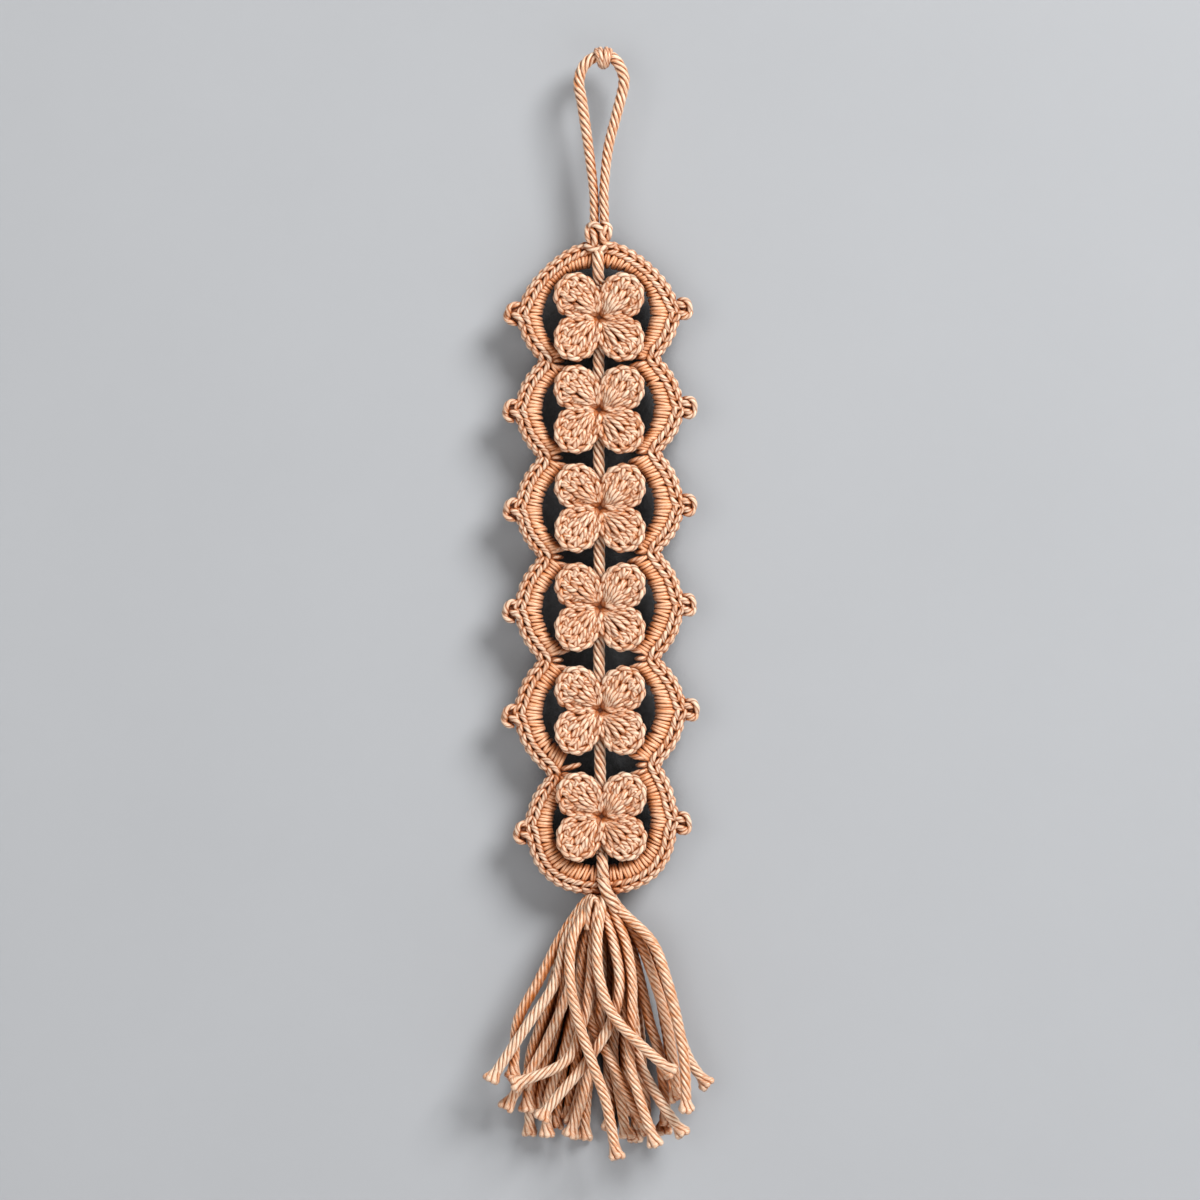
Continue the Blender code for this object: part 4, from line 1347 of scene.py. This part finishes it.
def work_petal_fan(flower, motif, petal, middle, yarn):
    """The long stitches that fan out from the flower's middle."""
    distance, lift, girth = np.array(FAN_STRAND, float).T
    bend = math.radians(FAN_BEND) * np.sin(np.linspace(0.0, math.pi, len(FAN_STRAND)))
    for place in np.linspace(-1.0, 1.0, petal.fan):
        angle = middle + math.radians(petal.spread) * place + flower.random.normal(0.0, FAN_ANGLE_SPREAD)
        grow = petal.length * (1 + flower.random.normal(0.0, FAN_LENGTH_SPREAD))
        reach = distance * np.where(distance > FAN_FOOT, grow, 1.0)
        sunk = petal.sink * np.clip((reach - HOLLOW_START) / HOLLOW_LENGTH, 0.0, 1.0)
        knots = flower_place(motif, angle + bend, reach, lift * yarn - sunk)
        curve = smooth(np.column_stack([knots, girth * yarn]), 2)
        painted_middle_shade = np.clip(1 - lengths_along(curve) / MIDDLE_SHADE_LENGTH, 0.0, 1.0)
        flower.sweep(curve, curve[:, 3], YARN_SECTION, lay=YARN_LAY, shade=painted_middle_shade)


def work_petal_posts(flower, motif, petal, middle, yarn):
    """The rows of stitches between a petal's fan and its rim."""
    for place in np.linspace(-1.0, 1.0, petal.posts):
        angle = middle + math.radians(POST_SPREAD) * place
        reach = np.linspace(petal.first_post, petal_reach(angle) - POST_STOP, POST_POINTS)
        post = rail_facing_front(flower_place(motif, np.full(POST_POINTS, angle), reach, POST_SINK))
        steps = max(1, round(post.length / POST_PITCH))
        for step in range(steps):
            for side in (1, -1):
                ahead = flower.random.normal(0.0, POST_UNEVENNESS)
                work_leg(
                    flower, post, (step + ahead) * post.length / steps, post.length / steps, CHAIN_LEG,
                    side, POST_HALF_WIDTH, yarn * POST_FULLNESS, YARN_SECTION,
                )


def work_petal_back(flower, motif, middle, yarn):
    """The plain strands across a petal's back."""
    depth, girth = np.array(BACK_STRAND).T
    for place in np.linspace(-1.0, 1.0, BACK_STRANDS_A_PETAL):
        angle = middle + math.radians(BACK_SPREAD) * place
        reach = np.linspace(BACK_START, petal_reach(angle) - BACK_STOP, len(BACK_STRAND))
        knots = flower_place(motif, np.full(len(BACK_STRAND), angle), reach)
        knots[:, 1] = FLOWER_BACK + depth
        flower.sweep_route(np.column_stack([knots, yarn * girth]), 2, WRAP_SECTION, facing=-FRONT)


class CROCHET_OT_flowers(bpy.types.Operator):
    """Works the six four-petal flowers, each with fans of long stitches inside chained rims"""

    bl_idname = "crochet.flowers"
    bl_label = "Flowers"

    def execute(self, context):
        yarn = settings().yarn / MM * FLOWER_FULLNESS
        for number, motif in enumerate(MOTIFS, start=1):
            flower = Strands(seed=60 + number)
            for petal in PETALS:
                middle = math.radians(petal.angle)
                work_petal_rim(flower, motif, middle, yarn)
                work_petal_fan(flower, motif, petal, middle, yarn)
                work_petal_posts(flower, motif, petal, middle, yarn)
                work_petal_back(flower, motif, middle, yarn)
            flower.place(f"petals_{number}", "stitches", "flower_yarn", f"flower_{number}")
            self.add_pad(context, number, motif)
        return {"FINISHED"}

    def add_pad(self, context, number, motif):
        """A dome of yarn under the stitches, modelled from a circle, dark all over with painted shade."""
        bpy.ops.object.select_all(action="DESELECT")
        bpy.ops.mesh.primitive_circle_add(vertices=PAD_SIDES, radius=1.0, fill_type="NGON")
        pad = context.object
        pad.name = f"petal_shade_pad_{number}"
        bpy.ops.object.mode_set(mode="EDIT")
        bpy.ops.mesh.select_all(action="SELECT")
        bpy.ops.mesh.extrude_region_move(TRANSFORM_OT_translate={"value": (0.0, 0.0, 1.0)})
        for scale in PAD_RINGS:
            bpy.ops.mesh.extrude_region_move()
            bpy.ops.transform.resize(value=(scale, scale, 1.0), center_override=(0.0, 0.0, 0.0))
        bpy.ops.mesh.select_all(action="SELECT")
        bpy.ops.mesh.normals_make_consistent(inside=False)
        bpy.ops.object.mode_set(mode="OBJECT")
        for vertex in pad.data.vertices:
            x, y, top = vertex.co
            angle = math.atan2(y, x)
            reach = math.hypot(x, y) * float(petal_reach(angle) - PAD_EDGE)
            place = flower_place(motif, angle, reach, -PAD_DEPTH)
            front = min(place[1], FLOWER_BACK - PAD_FRONT)
            depth = front if top > 0.5 else FLOWER_BACK + PAD_BACK
            vertex.co = (place[0] * MM, depth * MM, place[2] * MM)
        pad.data.shade_smooth()
        # Its colour is painted shade.
        pad.data.materials.append(finish("painted_hollow_shade"))
        place_piece(pad, "flower_yarn")


class CROCHET_OT_centre_cord(bpy.types.Operator):
    """Lays the cord down the strip's middle, behind the flowers"""

    bl_idname = "crochet.centre_cord"
    bl_label = "Centre cord"

    def execute(self, context):
        cord = Strands(seed=71)
        path = smooth(CENTRE_CORD_ROUTE, spacing=CENTRE_CORD_LAY / POINTS_A_LAY)
        cord.sweep(path, CENTRE_CORD_RADIUS, CENTRE_SECTION, lay=CENTRE_CORD_LAY, tone=CENTRE_CORD_TONE)
        for row, section, lay in (
            (FOOT_CORD, CENTRE_SECTION, CENTRE_CORD_LAY),
            (FOOT_LOOP, YARN_SECTION, YARN_LAY),
        ):
            path = smooth(row.route, spacing=SHORT_SPACING)
            cord.sweep(path, row.radius, section, lay=lay, tone=FOOT_TONE)
        cord.place("middle_cord", "cord", "cord", "centre_cord")
        return {"FINISHED"}


def strand_route(strand):
    """A tassel strand's own points, from its fold in the head to its cut end."""
    depth = (strand.layer - MIDDLE_LAYER) * LAYER_PITCH
    root_depth = depth * ROOT_DEPTH_SHARE * math.sqrt(1 - (strand.root_x / HEAD_HALF_WIDTH) ** 2)
    route = [
        (strand.root_x * HEAD_TOP_SHARE + HEAD_TOP_SHIFT, root_depth * HEAD_TOP_DEPTH_SHARE, HEAD_TOP_Z),
        (strand.root_x, root_depth, ROOT_Z),
    ]
    for level, place in zip(LEVELS, strand.places):
        share = min(1.0, (ROOT_Z - level) / SPREAD_DROP)
        route.append((place, root_depth + (depth - root_depth) * share, level))
    route.append((strand.end_x, depth, strand.end_z))
    return route


def fray(ends, path):
    """Opens the plies at a tassel strand's cut end."""
    travelled = lengths_along(path)
    first = travelled[-1] - FRAY_LENGTH - FRAY_OVERLAP
    along = unit(path[-1] - path[-4])
    across = unit(np.cross(along, FRONT))
    front = np.cross(across, along)
    share = np.linspace(0.0, 1.0, FRAY_POINTS)
    girth = np.interp(share, *zip(*FRAY))
    for ply in range(STRAND_PLIES):
        out = ends.random.normal(1.0, FRAY_REACH_SPREAD)
        length = FRAY_LENGTH + FRAY_OVERLAP + ends.random.normal(0.0, FRAY_LENGTH_SPREAD)
        travel = first + share * length
        base = at_lengths(path, travelled, travel)
        base += along * np.maximum(travel - travelled[-1], 0.0)[:, None]
        angle = 2 * math.pi * ((ply + 0.5) / STRAND_PLIES - (first + share * FRAY_TWIST) / STRAND_LAY)
        reach = FRAY_START + (FRAY_REACH * out - FRAY_START) * share**FRAY_OPENING
        points = base + front * (reach * np.cos(angle))[:, None] + across * (reach * np.sin(angle))[:, None]
        route = np.column_stack([points, girth])
        ends.sweep_route(route, 2, FRAY_SECTION, lines=1.0, shade=FRAY_SHADE)


class CROCHET_OT_tassel(bpy.types.Operator):
    """Hangs the tassel: cut lengths of laid cord with frayed ends, folded over the strip's lowest edge"""

    bl_idname = "crochet.tassel"
    bl_label = "Tassel"

    def execute(self, context):
        tassel, ends = Strands(seed=81), Strands(seed=82)
        for strand in STRANDS + BACK_STRANDS:
            path = smooth(strand_route(strand), spacing=STRAND_LAY / STRAND_POINTS_A_LAY)
            travelled = lengths_along(path)
            body = path[travelled <= travelled[-1] - FRAY_LENGTH + BODY_OVERLAP]
            radius = settings().strand / MM * (1 + tassel.random.normal(0.0, STRAND_SPREAD))
            tassel.sweep(body, radius, CORD_SECTION, lay=STRAND_LAY)
            fray(ends, path)
        tassel.place("tassel_strands", "cord", "tassel_cord", "tassel")
        ends.place("tassel_ends", "cord", "tassel_cord")
        return {"FINISHED"}


OPERATORS = (
    CROCHET_OT_stage,
    CROCHET_OT_hitch,
    CROCHET_OT_hanging_loop,
    CROCHET_OT_edging,
    CROCHET_OT_rings,
    CROCHET_OT_picots,
    CROCHET_OT_flowers,
    CROCHET_OT_centre_cord,
    CROCHET_OT_tassel,
)


class CROCHET_PT_panel(bpy.types.Panel):
    """The sidebar's list of sizes, colours and pieces"""

    bl_idname = "CROCHET_PT_panel"
    bl_label = "Crochet hanging decoration"
    bl_space_type = "VIEW_3D"
    bl_region_type = "UI"
    bl_category = "Crochet"

    def draw(self, context):
        for name in DecorationSettings.__annotations__:
            self.layout.prop(context.scene.crochet_decoration, name)
        for operator in OPERATORS:
            self.layout.operator(operator.bl_idname)


CLASSES = (DecorationSettings, *OPERATORS, CROCHET_PT_panel)


def register():
    for cls in CLASSES:
        bpy.utils.register_class(cls)
    bpy.types.Scene.crochet_decoration = bpy.props.PointerProperty(type=DecorationSettings)


def unregister():
    del bpy.types.Scene.crochet_decoration
    for cls in reversed(CLASSES):
        bpy.utils.unregister_class(cls)


def main():
    register()
    for operator in OPERATORS:
        getattr(bpy.ops.crochet, operator.bl_idname.split(".")[1])()


if __name__ == "__main__":
    main()
